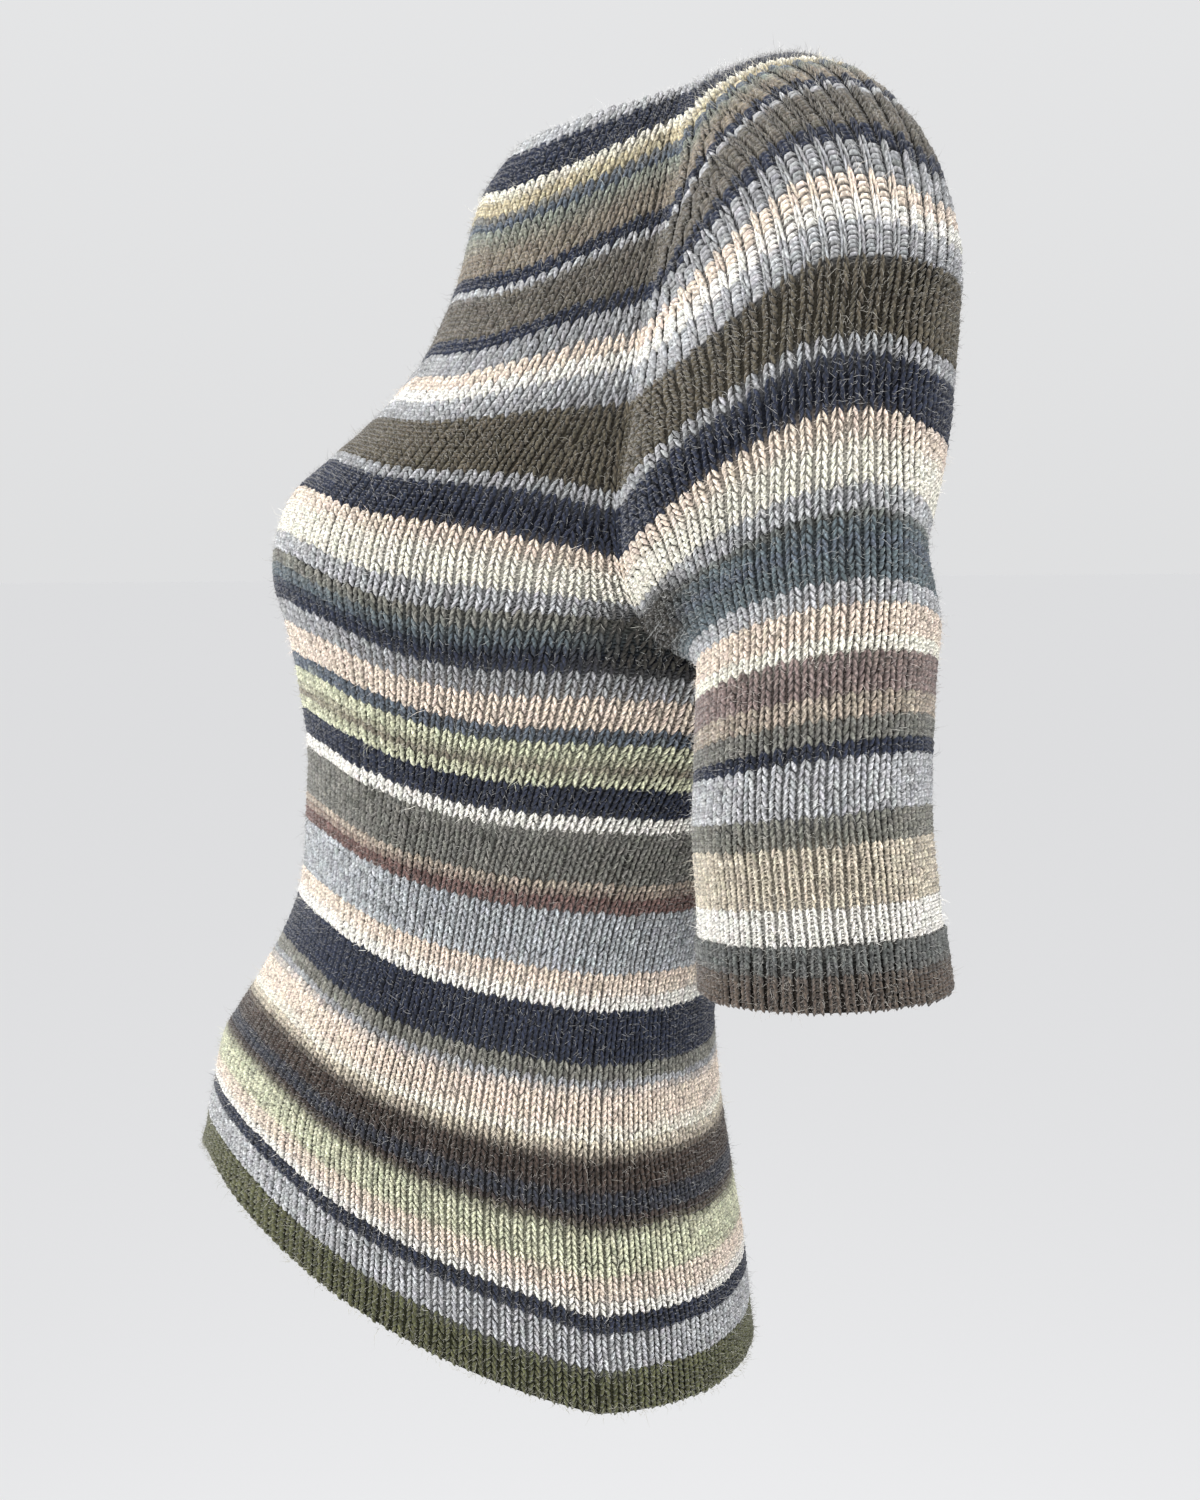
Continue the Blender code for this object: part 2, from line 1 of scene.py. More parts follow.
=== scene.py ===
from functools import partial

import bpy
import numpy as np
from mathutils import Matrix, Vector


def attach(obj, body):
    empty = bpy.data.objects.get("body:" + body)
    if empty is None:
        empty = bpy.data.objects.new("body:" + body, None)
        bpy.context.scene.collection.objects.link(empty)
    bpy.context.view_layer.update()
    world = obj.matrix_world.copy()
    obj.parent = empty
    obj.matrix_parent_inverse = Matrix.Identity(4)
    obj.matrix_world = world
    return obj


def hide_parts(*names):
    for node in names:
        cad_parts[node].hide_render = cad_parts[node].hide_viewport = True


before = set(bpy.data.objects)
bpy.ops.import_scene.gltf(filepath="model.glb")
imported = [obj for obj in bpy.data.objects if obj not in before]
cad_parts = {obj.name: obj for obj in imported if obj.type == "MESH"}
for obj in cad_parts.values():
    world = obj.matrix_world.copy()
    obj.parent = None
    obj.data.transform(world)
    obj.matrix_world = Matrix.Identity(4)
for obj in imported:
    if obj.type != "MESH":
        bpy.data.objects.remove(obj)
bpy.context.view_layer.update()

# A hand-knitted striped pullover, worn on a general figure. Every stitch is modelled: two legs of
# yarn over a thin cloth that takes each solid's form. Metres, +Z up, the wearer faces -Y.
# A round is counted down from the neck, and a wale is a column of stitches counted out from the
# middle of its piece. A leg is one half of a stitch.

SEED = 20
SAMPLES = 97  # points that a round is drawn with before it is divided into wales
SEAM_HALF_GAP = 0.00015

# Rounds
UNDERARM = 70  # last round of the yoke
HEM = 180
CUFF_SEAM = 125
CUFF_EDGE = 134
OPEN_ROUNDS = (107, 117)  # over which the sleeve's knitting pulls open
FADE_ROUNDS = 13  # over which the underarm's form runs out into the tubes
HANG_ROUNDS = 12  # over which the underarm's wales join in the tubes' hang

# Wales
HALF_BODY = 36  # from the middle of the front, or of the back, to the side line
HALF_YOKE = 30  # of these, the ones that come down from the yoke
HALF_CAP = 21  # from the top of the sleeve to a raglan line, at the underarm
SLEEVE_WALES = 54  # all round a sleeve below the underarm
BODY_STITCHES = ((0, 17), (UNDERARM, HALF_YOKE))
CAP_STITCHES = ((0, 9), (16, HALF_CAP), (UNDERARM, HALF_CAP))
# Columns of stitches over the shoulder, half of each round. They are added at the raglan lines
CAP_COLUMNS = ((0, 4), (9, 5.5), (16, 7), (25, 10), (34, 13.6), (46, 16.8), (60, 19), (UNDERARM, HALF_CAP))
NECK_COLUMNS = ((0, 8), (9, 12), (UNDERARM, HALF_CAP))
CROWDING = 0.18  # how much closer the columns lie on top of the shoulder
CROWDING_FADE = 8  # rounds above the underarm over which that runs out
PAST_LINE = 0.05  # wales past a raglan line from which a stitch is one of the underarm's

# Middle line of the front and of the back, neck to hem
MIDDLE = (
    ("round", "front_y", "front_z", "back_y", "back_z"),
    (0, -0.069, -0.004, 0.070, 0.027),
    (7, -0.085, -0.025, 0.078, 0.003),
    (19, -0.100, -0.073, 0.089, -0.043),
    (28, -0.115, -0.106, 0.095, -0.074),
    (37, -0.135, -0.131, 0.096, -0.108),
    (51, -0.163, -0.157, 0.089, -0.160),
    (59, -0.182, -0.174, 0.083, -0.190),
    (70, -0.194, -0.206, 0.074, -0.229),
    (84, -0.185, -0.257, 0.061, -0.286),
    (96, -0.179, -0.298, 0.044, -0.328),
    (109, -0.180, -0.343, 0.028, -0.374),
    (122, -0.185, -0.385, 0.019, -0.420),
    (134, -0.198, -0.420, 0.018, -0.461),
    (152, -0.217, -0.456, 0.022, -0.519),
    (164, -0.223, -0.479, 0.025, -0.555),
    (180, -0.228, -0.512, 0.028, -0.602),
)
# How gently a yoke round drops from the middle to its raglan lines, by round: small is a quick drop
YOKE_GENTLE = ((0, 1.2), (35, 0.6), (UNDERARM, 0.15))
# How far each yoke round has turned at its raglan lines, in degrees
YOKE_TURN = (
    ("round", "front_turn", "back_turn"),
    (0, 56, 48),
    (19, 60, 55),
    (37, 67, 66),
    (51, 73, 74),
    (70, 79, 82),
)
# The left raglan lines, front and back
RAGLAN = (
    ("round", "front_x", "front_y", "front_z", "back_x", "back_y", "back_z"),
    (0, 0.062, -0.005, 0.014, 0.064, 0.058, 0.027),
    (7, 0.072, -0.013, -0.003, 0.077, 0.068, 0.007),
    (19, 0.090, -0.026, -0.048, 0.095, 0.079, -0.031),
    (28, 0.105, -0.040, -0.085, 0.107, 0.082, -0.060),
    (37, 0.119, -0.051, -0.123, 0.119, 0.077, -0.098),
    (51, 0.134, -0.066, -0.178, 0.134, 0.055, -0.160),
    (59, 0.140, -0.067, -0.206, 0.140, 0.044, -0.193),
    (70, 0.144, -0.058, -0.234, 0.144, 0.028, -0.234),
)
# Sections of the body below the underarm: the side line, the section's turn about the figure's
# axis in degrees, how gently a round drops from the middle to the side (small is a quick drop),
# and how far the right hip pushes it forward
BODY_SECTION = (
    ("round", "side_x", "side_y", "side_z", "turn", "gentle", "hip"),
    (70, 0.145, -0.015, -0.236, 0, 0.15, 0.000),
    (84, 0.142, -0.030, -0.284, 3, 0.25, 0.000),
    (96, 0.134, -0.048, -0.323, 5, 0.35, 0.000),
    (109, 0.127, -0.064, -0.367, 8, 0.45, 0.000),
    (122, 0.128, -0.076, -0.411, 11, 0.50, 0.000),
    (134, 0.138, -0.086, -0.450, 14, 0.50, 0.003),
    (152, 0.154, -0.094, -0.506, 18, 0.45, 0.004),
    (164, 0.161, -0.096, -0.540, 20, 0.40, 0.001),
    (180, 0.167, -0.098, -0.584, 22, 0.15, 0.002),
)
HIP_ANGLE = -50  # in degrees from the section's own front
HIP_BREADTH = 35
# Top line of the left shoulder and then the outer line of the sleeve
OUTER_LINE = (
    ("round", "outer_x", "outer_y", "outer_z"),
    (0, 0.086, 0.030, 0.025),
    (7, 0.112, 0.029, 0.016),
    (19, 0.158, 0.026, -0.007),
    (28, 0.194, 0.021, -0.037),
    (37, 0.218, 0.016, -0.074),
    (51, 0.236, 0.005, -0.122),
    (59, 0.240, 0.002, -0.152),
    (70, 0.242, 0.001, -0.188),
    (82, 0.241, -0.001, -0.222),
    (96, 0.240, -0.002, -0.265),
    (109, 0.240, -0.002, -0.306),
    (121, 0.243, 0.001, -0.343),
    (134, 0.246, 0.004, -0.382),
)
# How far each shoulder round has turned at its raglan lines, in degrees
CAP_TURN = (
    ("round", "turn"),
    (0, 55),
    (19, 72),
    (28, 84),
    (37, 95),
    (51, 108),
    (70, 116),
)
# Sections of the left sleeve below the underarm
SLEEVE_SECTION = (
    ("round", "inner_x", "inner_z", "half_depth"),
    (70, 0.1465, -0.236, 0.051),
    (82, 0.1465, -0.262, 0.050),
    (96, 0.1445, -0.297, 0.049),
    (109, 0.1440, -0.327, 0.050),
    (121, 0.1445, -0.360, 0.051),
    (134, 0.1460, -0.391, 0.053),
)

# How many rounds lower than the form's own rows the knitting hangs, by place along the half round.
# The front's places run from its middle to its side, and the sleeve's from the front raglan line
# over the shoulder to the back one
FRONT_HANG = (
    ("round", 0, 0.2, 0.4, 0.6, 0.8, 1),
    (0, 0, 0, 0, 0, 0, 0),
    (5, 1.0, 2.6, 2.8, 2.5, 1.8, 0),
    (9, 0.3, 1.8, 2.0, 1.8, 1.1, 0),
    (20, -0.8, 0.2, 1.4, 1.5, 0.5, 0),
    (29, -1.5, -0.3, 1.0, 0.9, -0.1, 0),
    (36, -0.8, 1.1, 2.5, 1.6, 0.8, 0),
    (42, -0.8, 1.0, 2.4, 1.4, 0.6, 0),
    (52, -1.2, 0.5, 1.5, 0.2, -0.6, 0),
    (60, -1.2, 0.4, 1.2, 0.3, 0, 0),
    (75, -1.6, -0.5, 2.0, 2.8, 0.6, 0),
    (84, -1.4, -0.3, 2.0, 2.4, 1.1, 0),
    (97, -1.3, -0.2, 1.4, 1.8, 1.2, 0),
    (120, -2.0, -1.3, -0.1, 0.4, 0.2, 0),
    (137, -2.2, -1.4, 0.5, 0.8, 0.7, 0),
    (162, -1.4, -1.2, 0.4, 0.4, -0.1, 0),
    (180, 0, 0, 0, 0, 0, 0),
)
SLEEVE_HANG = (
    ("round", -1, -0.8, -0.5, -0.25, 0, 0.25, 0.6, 1),
    (0, 0, 0, 0, 0, 0, 0, 0, 0),
    (9, 0, -1.5, -2.0, -2.0, 0, 1, 0.5, 0),
    (20, 0, -2.6, -3.6, -3.6, -2.0, 1, 1, 0),
    (29, 0, -1.0, -3.7, -4.0, -1.5, 2.5, 1.5, 0),
    (36, 0, 0.8, -1.0, -2.3, 0.2, 3, 2, 0),
    (42, 0, 1.2, -0.3, -2.0, 0.4, 2.5, 2, 0),
    (52, 0, 0, -0.6, -2.2, -0.4, 2, 1.5, 0),
    (60, 0, 0, -1.0, -1.9, -0.8, 1.5, 1, 0),
    (70, 0, 0, -0.6, -1.2, -0.5, 1, 0.5, 0),
    (84, 0, 0, 0, 0, 0, 0, 0, 0),
    (134, 0, 0, 0, 0, 0, 0, 0, 0),
)
BACK_HANG = (("round", 0, 1), (0, 0, 0), (HEM, 0, 0))

# The yarn's colours, as sRGB from 0 to 255
PALETTE = {
    "navy": (39, 44, 59),
    "soft navy": (52, 55, 64),
    "slate": (88, 96, 106),
    "slate green": (91, 101, 106),
    "blue grey": (165, 168, 171),
    "light grey": (173, 174, 176),
    "mid grey": (152, 153, 155),
    "lichen": (128, 132, 122),
    "grey olive": (121, 120, 112),
    "white": (251, 248, 240),
    "cream": (251, 247, 232),
    "straw": (188, 177, 148),
    "peach": (226, 210, 194),
    "sage": (196, 197, 170),
    "taupe": (94, 89, 81),
    "brown olive": (83, 77, 65),
    "warm taupe": (127, 118, 105),
    "mauve brown": (130, 115, 111),
    "tan": (165, 153, 139),
    "khaki": (195, 185, 167),
    "dark brown": (66, 56, 50),
    "cuff brown": (88, 78, 70),
    "maroon brown": (107, 85, 80),
    "charcoal olive": (112, 111, 105),
    "dark slate": (97, 99, 97),
    "hem green": (84, 85, 59),
    # painted shade of the gathered stitches at the underarm
    "underarm": (56, 54, 50),
}
SHARPEST = 0.01  # rounds, the shortest blend
# Where each stripe starts, its colour, and over how many rounds it blends in
YOKE_STRIPES = (
    (0, "light grey", 0),
    (2, "navy", 0.6),
    (7, "cream", 0.6),
    (8.5, "straw", 2),
    (11.3, "slate", 0.6),
    (13, "lichen", 1),
    (15, "warm taupe", 3),
    (19, "navy", 0),
    (21, "light grey", 0),
    (22, "taupe", 1.2),
    (28, "navy", 0),
    (30, "mid grey", 0.5),
    (33, "peach", 0.8),
    (35, "white", 0.8),
    (37, "light grey", 0.5),
    (39, "mid grey", 1),
    (41, "brown olive", 0),
    (51, "mid grey", 0.3),
    (53, "navy", 0),
    (59, "peach", 0),
    (62, "cream", 2),
    (67, "light grey", 1),
)
BODY_STRIPES = (
    (UNDERARM, "grey olive", 0),
    (72, "slate green", 1.5),
    (74, "navy", 1.5),
    (77, "mid grey", 0.8),
    (80, "peach", 0),
    (84, "slate", 0.3),
    (85.7, "sage", 0.3),
    (88.5, "warm taupe", 1.5),
    (90, "sage", 1.5),
    (92, "navy", 0),
    (96, "white", 0),
    (98, "charcoal olive", 0),
    (105, "tan", 0.8),
    (106.5, "maroon brown", 1.5),
    (109, "blue grey", 0.8),
    (117, "peach", 0.6),
    (120, "white", 1.5),
    (122, "navy", 0),
    (129, "grey olive", 1),
    (131, "mid grey", 1),
    (132.5, "peach", 0.8),
    (137.5, "cream", 1.5),
    (138.8, "khaki", 1.4),
    (140.8, "dark brown", 2),
    (146, "soft navy", 1.5),
    (149, "dark brown", 1.5),
    (151.5, "sage", 2.5),
    (158, "peach", 1.5),
    (162, "white", 1.5),
    (164, "navy", 0),
    (167, "light grey", 0.8),
    (173, "hem green", 1),
)
SLEEVE_STRIPES = (
    (UNDERARM, "grey olive", 0),
    (70.5, "slate green", 1.2),
    (73, "slate", 0.8),
    (75, "slate green", 0.8),
    (79, "light grey", 0.8),
    (82, "peach", 0),
    (86, "cream", 0.8),
    (88, "mauve brown", 0.4),
    (93, "tan", 1),
    (96, "charcoal olive", 0.8),
    (99, "navy", 0),
    (101, "light grey", 0),
    (108, "grey olive", 0.6),
    (112, "khaki", 0.6),
    (120, "white", 0.6),
    (125, "dark slate", 0.6),
    (129, "cuff brown", 1.5),
)
# Regions of the knitting: first round, last round and stripes
YOKE = (0, UNDERARM, YOKE_STRIPES)
ABOVE_RIBS = (0, 10, YOKE_STRIPES)
RIBS = (10, 41, YOKE_STRIPES)
BELOW_RIBS = (41, UNDERARM, YOKE_STRIPES)
BODY = (UNDERARM, HEM, BODY_STRIPES)
TUBE = (UNDERARM, CUFF_SEAM, SLEEVE_STRIPES)
CUFF = (CUFF_SEAM, CUFF_EDGE, SLEEVE_STRIPES)

# One leg of a plain stitch, seen from outside, from where it comes out in front of the loop above
# to where it dives behind the next. Places along it are in wales out from the column's middle and
# in rounds. Its half width and the heights of its crest and edges are in metres
#    wale, round, half width, crest, edge
LEFT_LEG = (
    (0.080, -0.42, 0.00000, -0.0006, -0.0006),
    (0.180, 0.08, 0.00100, 0.0005, -0.0012),
    (0.285, 0.78, 0.00095, 0.0001, -0.0015),
    (0.370, 1.28, 0.00000, -0.0017, -0.0017),
)
RIGHT_LEG = (
    (0.070, -0.36, 0.00000, -0.0003, -0.0003),
    (0.180, 0.10, 0.00110, 0.0007, -0.0011),
    (0.290, 0.78, 0.00105, 0.0003, -0.0014),
    (0.380, 1.28, 0.00000, -0.0015, -0.0015),
)
# Between the ribs a stitch shows as two short bars across. Their half widths are in rounds
PURL_BAR = (
    (-0.36, 0.60, 0.00, -0.0018, -0.0018),
    (-0.16, 0.24, 0.22, -0.0002, -0.0018),
    (0.16, 0.20, 0.22, -0.0002, -0.0018),
    (0.36, 0.52, 0.00, -0.0018, -0.0018),
)
BAR_PITCH = 0.5  # rounds from the upper bar to the lower
# Across a leg, from edge over crest to edge: place in half widths, and share of the yarn's colour, painted
# shade at the edges and painted highlight on the crest
SECTION = ((-1, 0.27), (0, 1.30), (1, 0.27))
TOP_PAINTED_SHADE = 0.85  # painted shade where a leg comes out
FOOT_PAINTED_SHADE = 0.38  # painted shade where it dives
# What each point of a leg holds: wales and rounds from its stitch's place, height from the outer
# face, painted shade and highlight, shares of the way along and across the leg, and metres aside
WALE, ROUND, HEIGHT, PAINTED_SHADING, ALONG, ACROSS, ASIDE = range(7)
LEG_FACES = (
    np.array([(0, 1, 2), (0, 2, 3), (7, 5, 4), (7, 6, 5)]),
    np.array([(1, 4, 5, 2), (2, 5, 6, 3)]),
)
# How far a stitch strays in each of these: one leg by itself, and a whole patch of the knitting
STRAY = (
    ("value", "leg", "patch", "patch_rounds", "patch_wales"),
    (HEIGHT, 0.0001, 0.0005, 5, 4),
    (WALE, 0.022, 0.10, 7, 3),
    (ROUND, 0.06, 0.18, 3, 2),
)

# The shoulder's ribs
RIB_SPREAD = 0.38  # how much of its column a knit stitch takes
RIB_LIFT = 0.0007
RIB_LEG = 0.8  # width of a leg against one in plain knitting

# Open knitting. Its shares and rungs are against plain knitting and the bars between two ribs
OPEN_LEG = 0.26  # wales from the column's middle, to which the legs are drawn
OPEN_PULL = 0.4  # how far they get there
OPEN_THINNING = 0.2
OPEN_RUNGS = 0.4  # how open it is where the rungs start
RUNG_WIDTH = 0.62
RUNG_DEPTH = 0.0004
# The rungs lie deeper and take more painted shade
RUNG_PAINTED_SHADE = 0.8

# The raglan columns, and the gathered stitches at the underarm, darkened with painted shade
EASED_COLUMNS = 5  # how many columns next to a raglan line bend to run along it
EASED_POWER = 1.5
RAGLAN_ROOM = 0.0006  # from a raglan line to the nearest column on each side
RAGLAN_END = 3  # rounds above the underarm over which that room closes
RAGLAN_WALE = 0.0050  # width of the column of stitches on a raglan line
RAGLAN_LIFT = 0.0004
RAGLAN_STRAY = 0.05  # rounds
RAGLAN_PAINTED_SHADE_ROUNDS = (66, 69)  # rounds over which the column takes on the underarm's painted shade
GATHERED_ROUNDS = (66, 68.5, 75.5, 77.5)  # start, all in painted shade from and to, end
GATHERED_BODY = (5, 1)  # columns inside the raglan line: start, and all in painted shade from
GATHERED_SLEEVE = (8, 4)

# The yarn
CUFF_LIFT = 0.0014  # how much further the cuffs' stitches stand out
LEG_TONE = 0.15  # how much lighter or darker one leg is than the next
LEG_TINT = 0.012  # and how much it differs in hue
LIGHTEST = 0.97  # share of the light that the palest yarn gives back
MARL_LENGTHS = (4, 1.5)  # stitches over which the yarn's own tone changes
MARL_TONE = 0.14
MARL_BLEED = 0.15  # rounds by which that shifts the stripes
RUN_PER_ROUND = 200  # more than the stitches of any round
PLY_TWIST = 3.2  # turns of the plies along a leg
PLY_MARL_AND_PAINTED_SHADING = (0.78, 1.14)  # of the yarn's colour, between its plies and on them: partly the marl of a darker and a lighter ply, partly painted shade and painted highlight
FUZZ_SCALE = 700
FUZZ_SHADES = (0.52, 1.56)  # of its colour, from its darkest fuzz to its palest

# Loose fibres
FIBRE_WIDTH = 0.00015
FIBRE_LENGTHS = (0.0022, 0.0048)  # of most fibres, and of the longer ones
FIBRE_SPREAD = 0.35  # of the lengths about these
FIBRE_ROOT = 0.0002  # height of its root
FIBRE_BEND = 0.4  # share of its length below the bend
FIBRE_LEAN = (0.3, 1.4)
FIBRE_CURL = 0.7
FIBRE_PALENESS = 0.30
LONG_SHARE = 0.20
EDGE_SHARE = 0.05  # of the fibres lie along the garment's edge
EDGE_BAND = (-0.5, 1.5)  # rounds inwards from that edge

# The thin cloth under the stitches
BACKING_STEP = 2.5  # rounds
FACE_DEPTH = 0.0016  # its outer face below the stitches' crests
# Its outer face shows in the gaps between the stitches and is darkened there with painted shade
FACE_PAINTED_SHADE = 0.35
BACK_DEPTH = 0.0030  # its inner face
BACK_SHADE = 0.8
BUMP_PAINTED_SHADING = (0.55, 1.2)  # painted shade of its colour between the bumps of its wrong side, painted highlight on them

# The studio. Each light has its place and its power in watts
LIGHTS = {
    "key": ((2.3, -1.9, 0.5), 31),
    "front": ((-0.4, -2.8, 0.9), 10),
    "fill": ((2.4, 1.2, 0.2), 8),
    "back": ((-1.2, 2.7, 0.6), 9),
}
LIGHT_TARGET = (0.05, -0.05, -0.3)
LIGHT_SIZE = 1.6
LIGHT_SPREAD = 110
FLOOR_LEVEL = -2.6
FLOOR_SIZE = 200
FLOOR_COLOUR = (0.87, 0.87, 0.875, 1)
# The soft light all round, by the height of its direction, from the horizon to straight up
SKY = ((0.0, 0.74), (0.25, 0.77), (1.0, 0.88))
SKY_TINT = (1, 1.005, 1.015)
CAMERA_PLACE = (0.7446, -0.2974, -0.200)
CAMERA_AZIMUTH = 70
CAMERA_DROP = 7.8
CAMERA_LENS = 36  # mm, as wide as the sensor

COLOUR_LAYER = "Yarn"
UV_LAYER = "UVMap"
TURN = 2 * np.pi


def read(table, rounds):
    """The table's columns at the given rounds, on a smooth curve through its rows."""
    names, rows = table[0], np.array(table[1:], float)
    knots, values = rows[:, 0], rows[:, 1:]
    rounds = np.clip(np.asarray(rounds, float), knots[0], knots[-1])
    i = np.clip(np.searchsorted(knots, rounds, side="right") - 1, 0, len(knots) - 2)
    slopes = np.gradient(values, knots, axis=0)
    step = (knots[i + 1] - knots[i])[..., None]
    t = (rounds - knots[i])[..., None] / step
    curve = (
        (2 * t**3 - 3 * t**2 + 1) * values[i]
        + (t**3 - 2 * t**2 + t) * step * slopes[i]
        + (3 * t**2 - 2 * t**3) * values[i + 1]
        + (t**3 - t**2) * step * slopes[i + 1]
    )
    return {name: curve[..., k] for k, name in enumerate(names[1:])}


def between(rows, rounds):
    """The value at the given rounds, on straight lines through rows of round and value."""
    knots, values = zip(*rows)
    return np.interp(rounds, knots, values)


def drop(share, gentle):
    """0 at the middle of a round and 1 at its end, smooth across the middle."""
    return (np.sqrt(share**2 + gentle**2) - gentle) / (np.sqrt(1 + gentle**2) - gentle)


def ramp(value, start, end):
    """0 up to start, 1 from end on, and straight between."""
    return np.clip((value - start) / (end - start), 0, 1)


def smooth(t):
    """From 0 to 1 as t does, with level ends."""
    return t * t * (3 - 2 * t)


def divided(points, first, last):
    """The wale number of each point along a round, evenly by length from first to last."""
    lengths = np.linalg.norm(np.diff(points, axis=0), axis=1)
    run = np.concatenate([[0], np.cumsum(lengths)])
    return first + (last - first) * run / run[-1]


def at_wales(points, numbers, wales):
    """The places of the given wales on a round whose points have these numbers."""
    return np.stack([np.interp(wales, numbers, points[:, k]) for k in range(3)], axis=-1)


def yoke_arc(side, round_):
    """The front's or the back's part of a yoke round, from the right raglan line to the left."""
    share = np.linspace(-1, 1, SAMPLES)
    middle, raglan = read(MIDDLE, round_), read(RAGLAN, round_)
    turn = np.radians(read(YOKE_TURN, round_)[side + "_turn"])
    gentle = between(YOKE_GENTLE, round_)
    x = raglan[side + "_x"] * np.sin(turn * share) / np.sin(turn)
    inward = (1 - np.cos(turn * share)) / (1 - np.cos(turn))
    y = middle[side + "_y"] + (raglan[side + "_y"] - middle[side + "_y"]) * inward
    z = middle[side + "_z"] + (raglan[side + "_z"] - middle[side + "_z"]) * drop(share, gentle)
    return np.stack([x, y, z], axis=-1)


def body_ring(side, round_):
    """The front or back half of a body round, from the right side line to the left."""
    angle = np.radians(np.linspace(-90, 90, SAMPLES))
    middle, section = read(MIDDLE, round_), read(BODY_SECTION, round_)
    turn = np.radians(section["turn"])
    if side == "back":
        angle = np.pi - angle
    swung = angle - turn
    reach = np.where(np.cos(swung) > 0, middle["front_y"], middle["back_y"]) - section["side_y"]
    hip = section["hip"] * np.exp(-(((np.degrees(swung) - HIP_ANGLE) / HIP_BREADTH) ** 2))
    x = (section["side_x"] + hip) * np.sin(swung)
    y = section["side_y"] + reach * np.abs(np.cos(swung)) - hip * np.cos(swung)
    centre = (middle["front_y"] + middle["back_y"]) / 2
    across = x * np.cos(turn) - (y - centre) * np.sin(turn)
    along = centre + x * np.sin(turn) + (y - centre) * np.cos(turn)
    share, level = np.linspace(-1, 1, SAMPLES), middle[side + "_z"]
    z = level + (section["side_z"] - level) * drop(share, section["gentle"])
    return np.stack([across, along, z], axis=-1)


def point(row, name):
    return np.array([row[f"{name}_{axis}"] for axis in "xyz"])


def underarm_line(start_side):
    """The left underarm at the last yoke round, between the raglan lines."""
    raglan, side = read(RAGLAN, UNDERARM), read(BODY_SECTION, UNDERARM)
    share = np.linspace(-1, 1, SAMPLES)
    front, back = point(raglan, "front"), point(raglan, "back")
    bow = (point(side, "side") - front) * (1, 0, 1)
    line = (front + back) / 2 + np.outer(share, (back - front) / 2) + np.outer(1 - share**2, bow)
    return line if start_side == "front" else line[::-1]


def joined(before, middle, after, reach, edge):
    """One round of three stretches, which meet at wales -reach and reach: points and wales."""
    points = np.concatenate([before[:-1], middle, after[1:]])
    first, last = divided(before, -edge, -reach), divided(after, reach, edge)
    return points, np.concatenate([first[:-1], divided(middle, -reach, reach), last[1:]])


def last_yoke_round(side):
    """Round UNDERARM of the front or back with its half of each underarm."""
    left = underarm_line(side)[: SAMPLES // 2 + 1]
    right = left[::-1] * (-1, 1, 1)
    return joined(right, yoke_arc(side, UNDERARM), left, HALF_YOKE, HALF_BODY)


def cap_arc(round_):
    """The left sleeve's part of a yoke round, from the front raglan line over the top to the back."""
    share = np.linspace(-1, 1, SAMPLES)[:, None]
    raglan, peak = read(RAGLAN, round_), point(read(OUTER_LINE, round_), "outer")
    turn = np.radians(float(read(CAP_TURN, round_)["turn"]))
    front, back = point(raglan, "front"), point(raglan, "back")
    chord = (front + back) / 2
    bulge = (np.cos(turn * share) - np.cos(turn)) / (1 - np.cos(turn))
    return chord + (back - front) / 2 * np.sin(turn * share) / np.sin(turn) + (peak - chord) * bulge


def sleeve_ring(round_):
    """A round of the left sleeve below the underarm, from its inner line round by the front."""
    angle = np.radians(np.linspace(-180, 180, 2 * SAMPLES - 1))
    outer, inner = read(OUTER_LINE, round_), read(SLEEVE_SECTION, round_)
    x, z = (
        (outer[f"outer_{k}"] + inner[f"inner_{k}"]) / 2
        + (outer[f"outer_{k}"] - inner[f"inner_{k}"]) / 2 * np.cos(angle)
        for k in "xz"
    )
    return np.stack([x, outer["outer_y"] + inner["half_depth"] * np.sin(angle), z], axis=-1)


def last_cap_round():
    """Round UNDERARM of the left sleeve with its underarm."""
    under = underarm_line("back") + (2 * SEAM_HALF_GAP, 0, 0)
    half = SAMPLES // 2
    return joined(under[half:], cap_arc(UNDERARM), under[: half + 1], HALF_CAP, SLEEVE_WALES / 2)


def laid(arc, ring, last_arc, counts, edge, round_, wales):
    """Where wales lie on a round: along the arc in the yoke, and below it round the ring, whose
    shape starts as the last arc's."""
    if round_ < UNDERARM:
        points, reach = arc(round_), float(between(counts, round_))
        return at_wales(points, divided(points, -reach, reach), np.clip(wales, -reach, reach))
    points, top = ring(round_), ring(UNDERARM)
    places = at_wales(points, divided(points, -edge, edge), wales)
    plain = at_wales(top, divided(top, -edge, edge), wales)
    left = 1 - smooth(ramp(round_, UNDERARM, UNDERARM + FADE_ROUNDS))
    return places + (at_wales(*last_arc(), wales) - plain) * left


def body_places(side, round_, wales):
    """Where the front's or the back's wales lie on a round."""
    parts = (partial(part, side) for part in (yoke_arc, body_ring, last_yoke_round))
    return laid(*parts, BODY_STITCHES, HALF_BODY, round_, wales)


def sleeve_places(round_, wales):
    """Where the left sleeve's wales lie on a round. Wale 0 runs over the top of the shoulder."""
    edge = SLEEVE_WALES / 2
    if round_ >= UNDERARM:
        wales = (wales + edge) % SLEEVE_WALES - edge
    return laid(cap_arc, sleeve_ring, last_cap_round, CAP_STITCHES, edge, round_, wales)


def unit(vectors):
    return vectors / np.linalg.norm(vectors, axis=-1, keepdims=True)


rng = np.random.default_rng(SEED)
scene = bpy.context.scene


# ---- The cloth as grids of places ----

def even_steps(first, last, step):
    return np.linspace(first, last, round((last - first) / step) + 1)


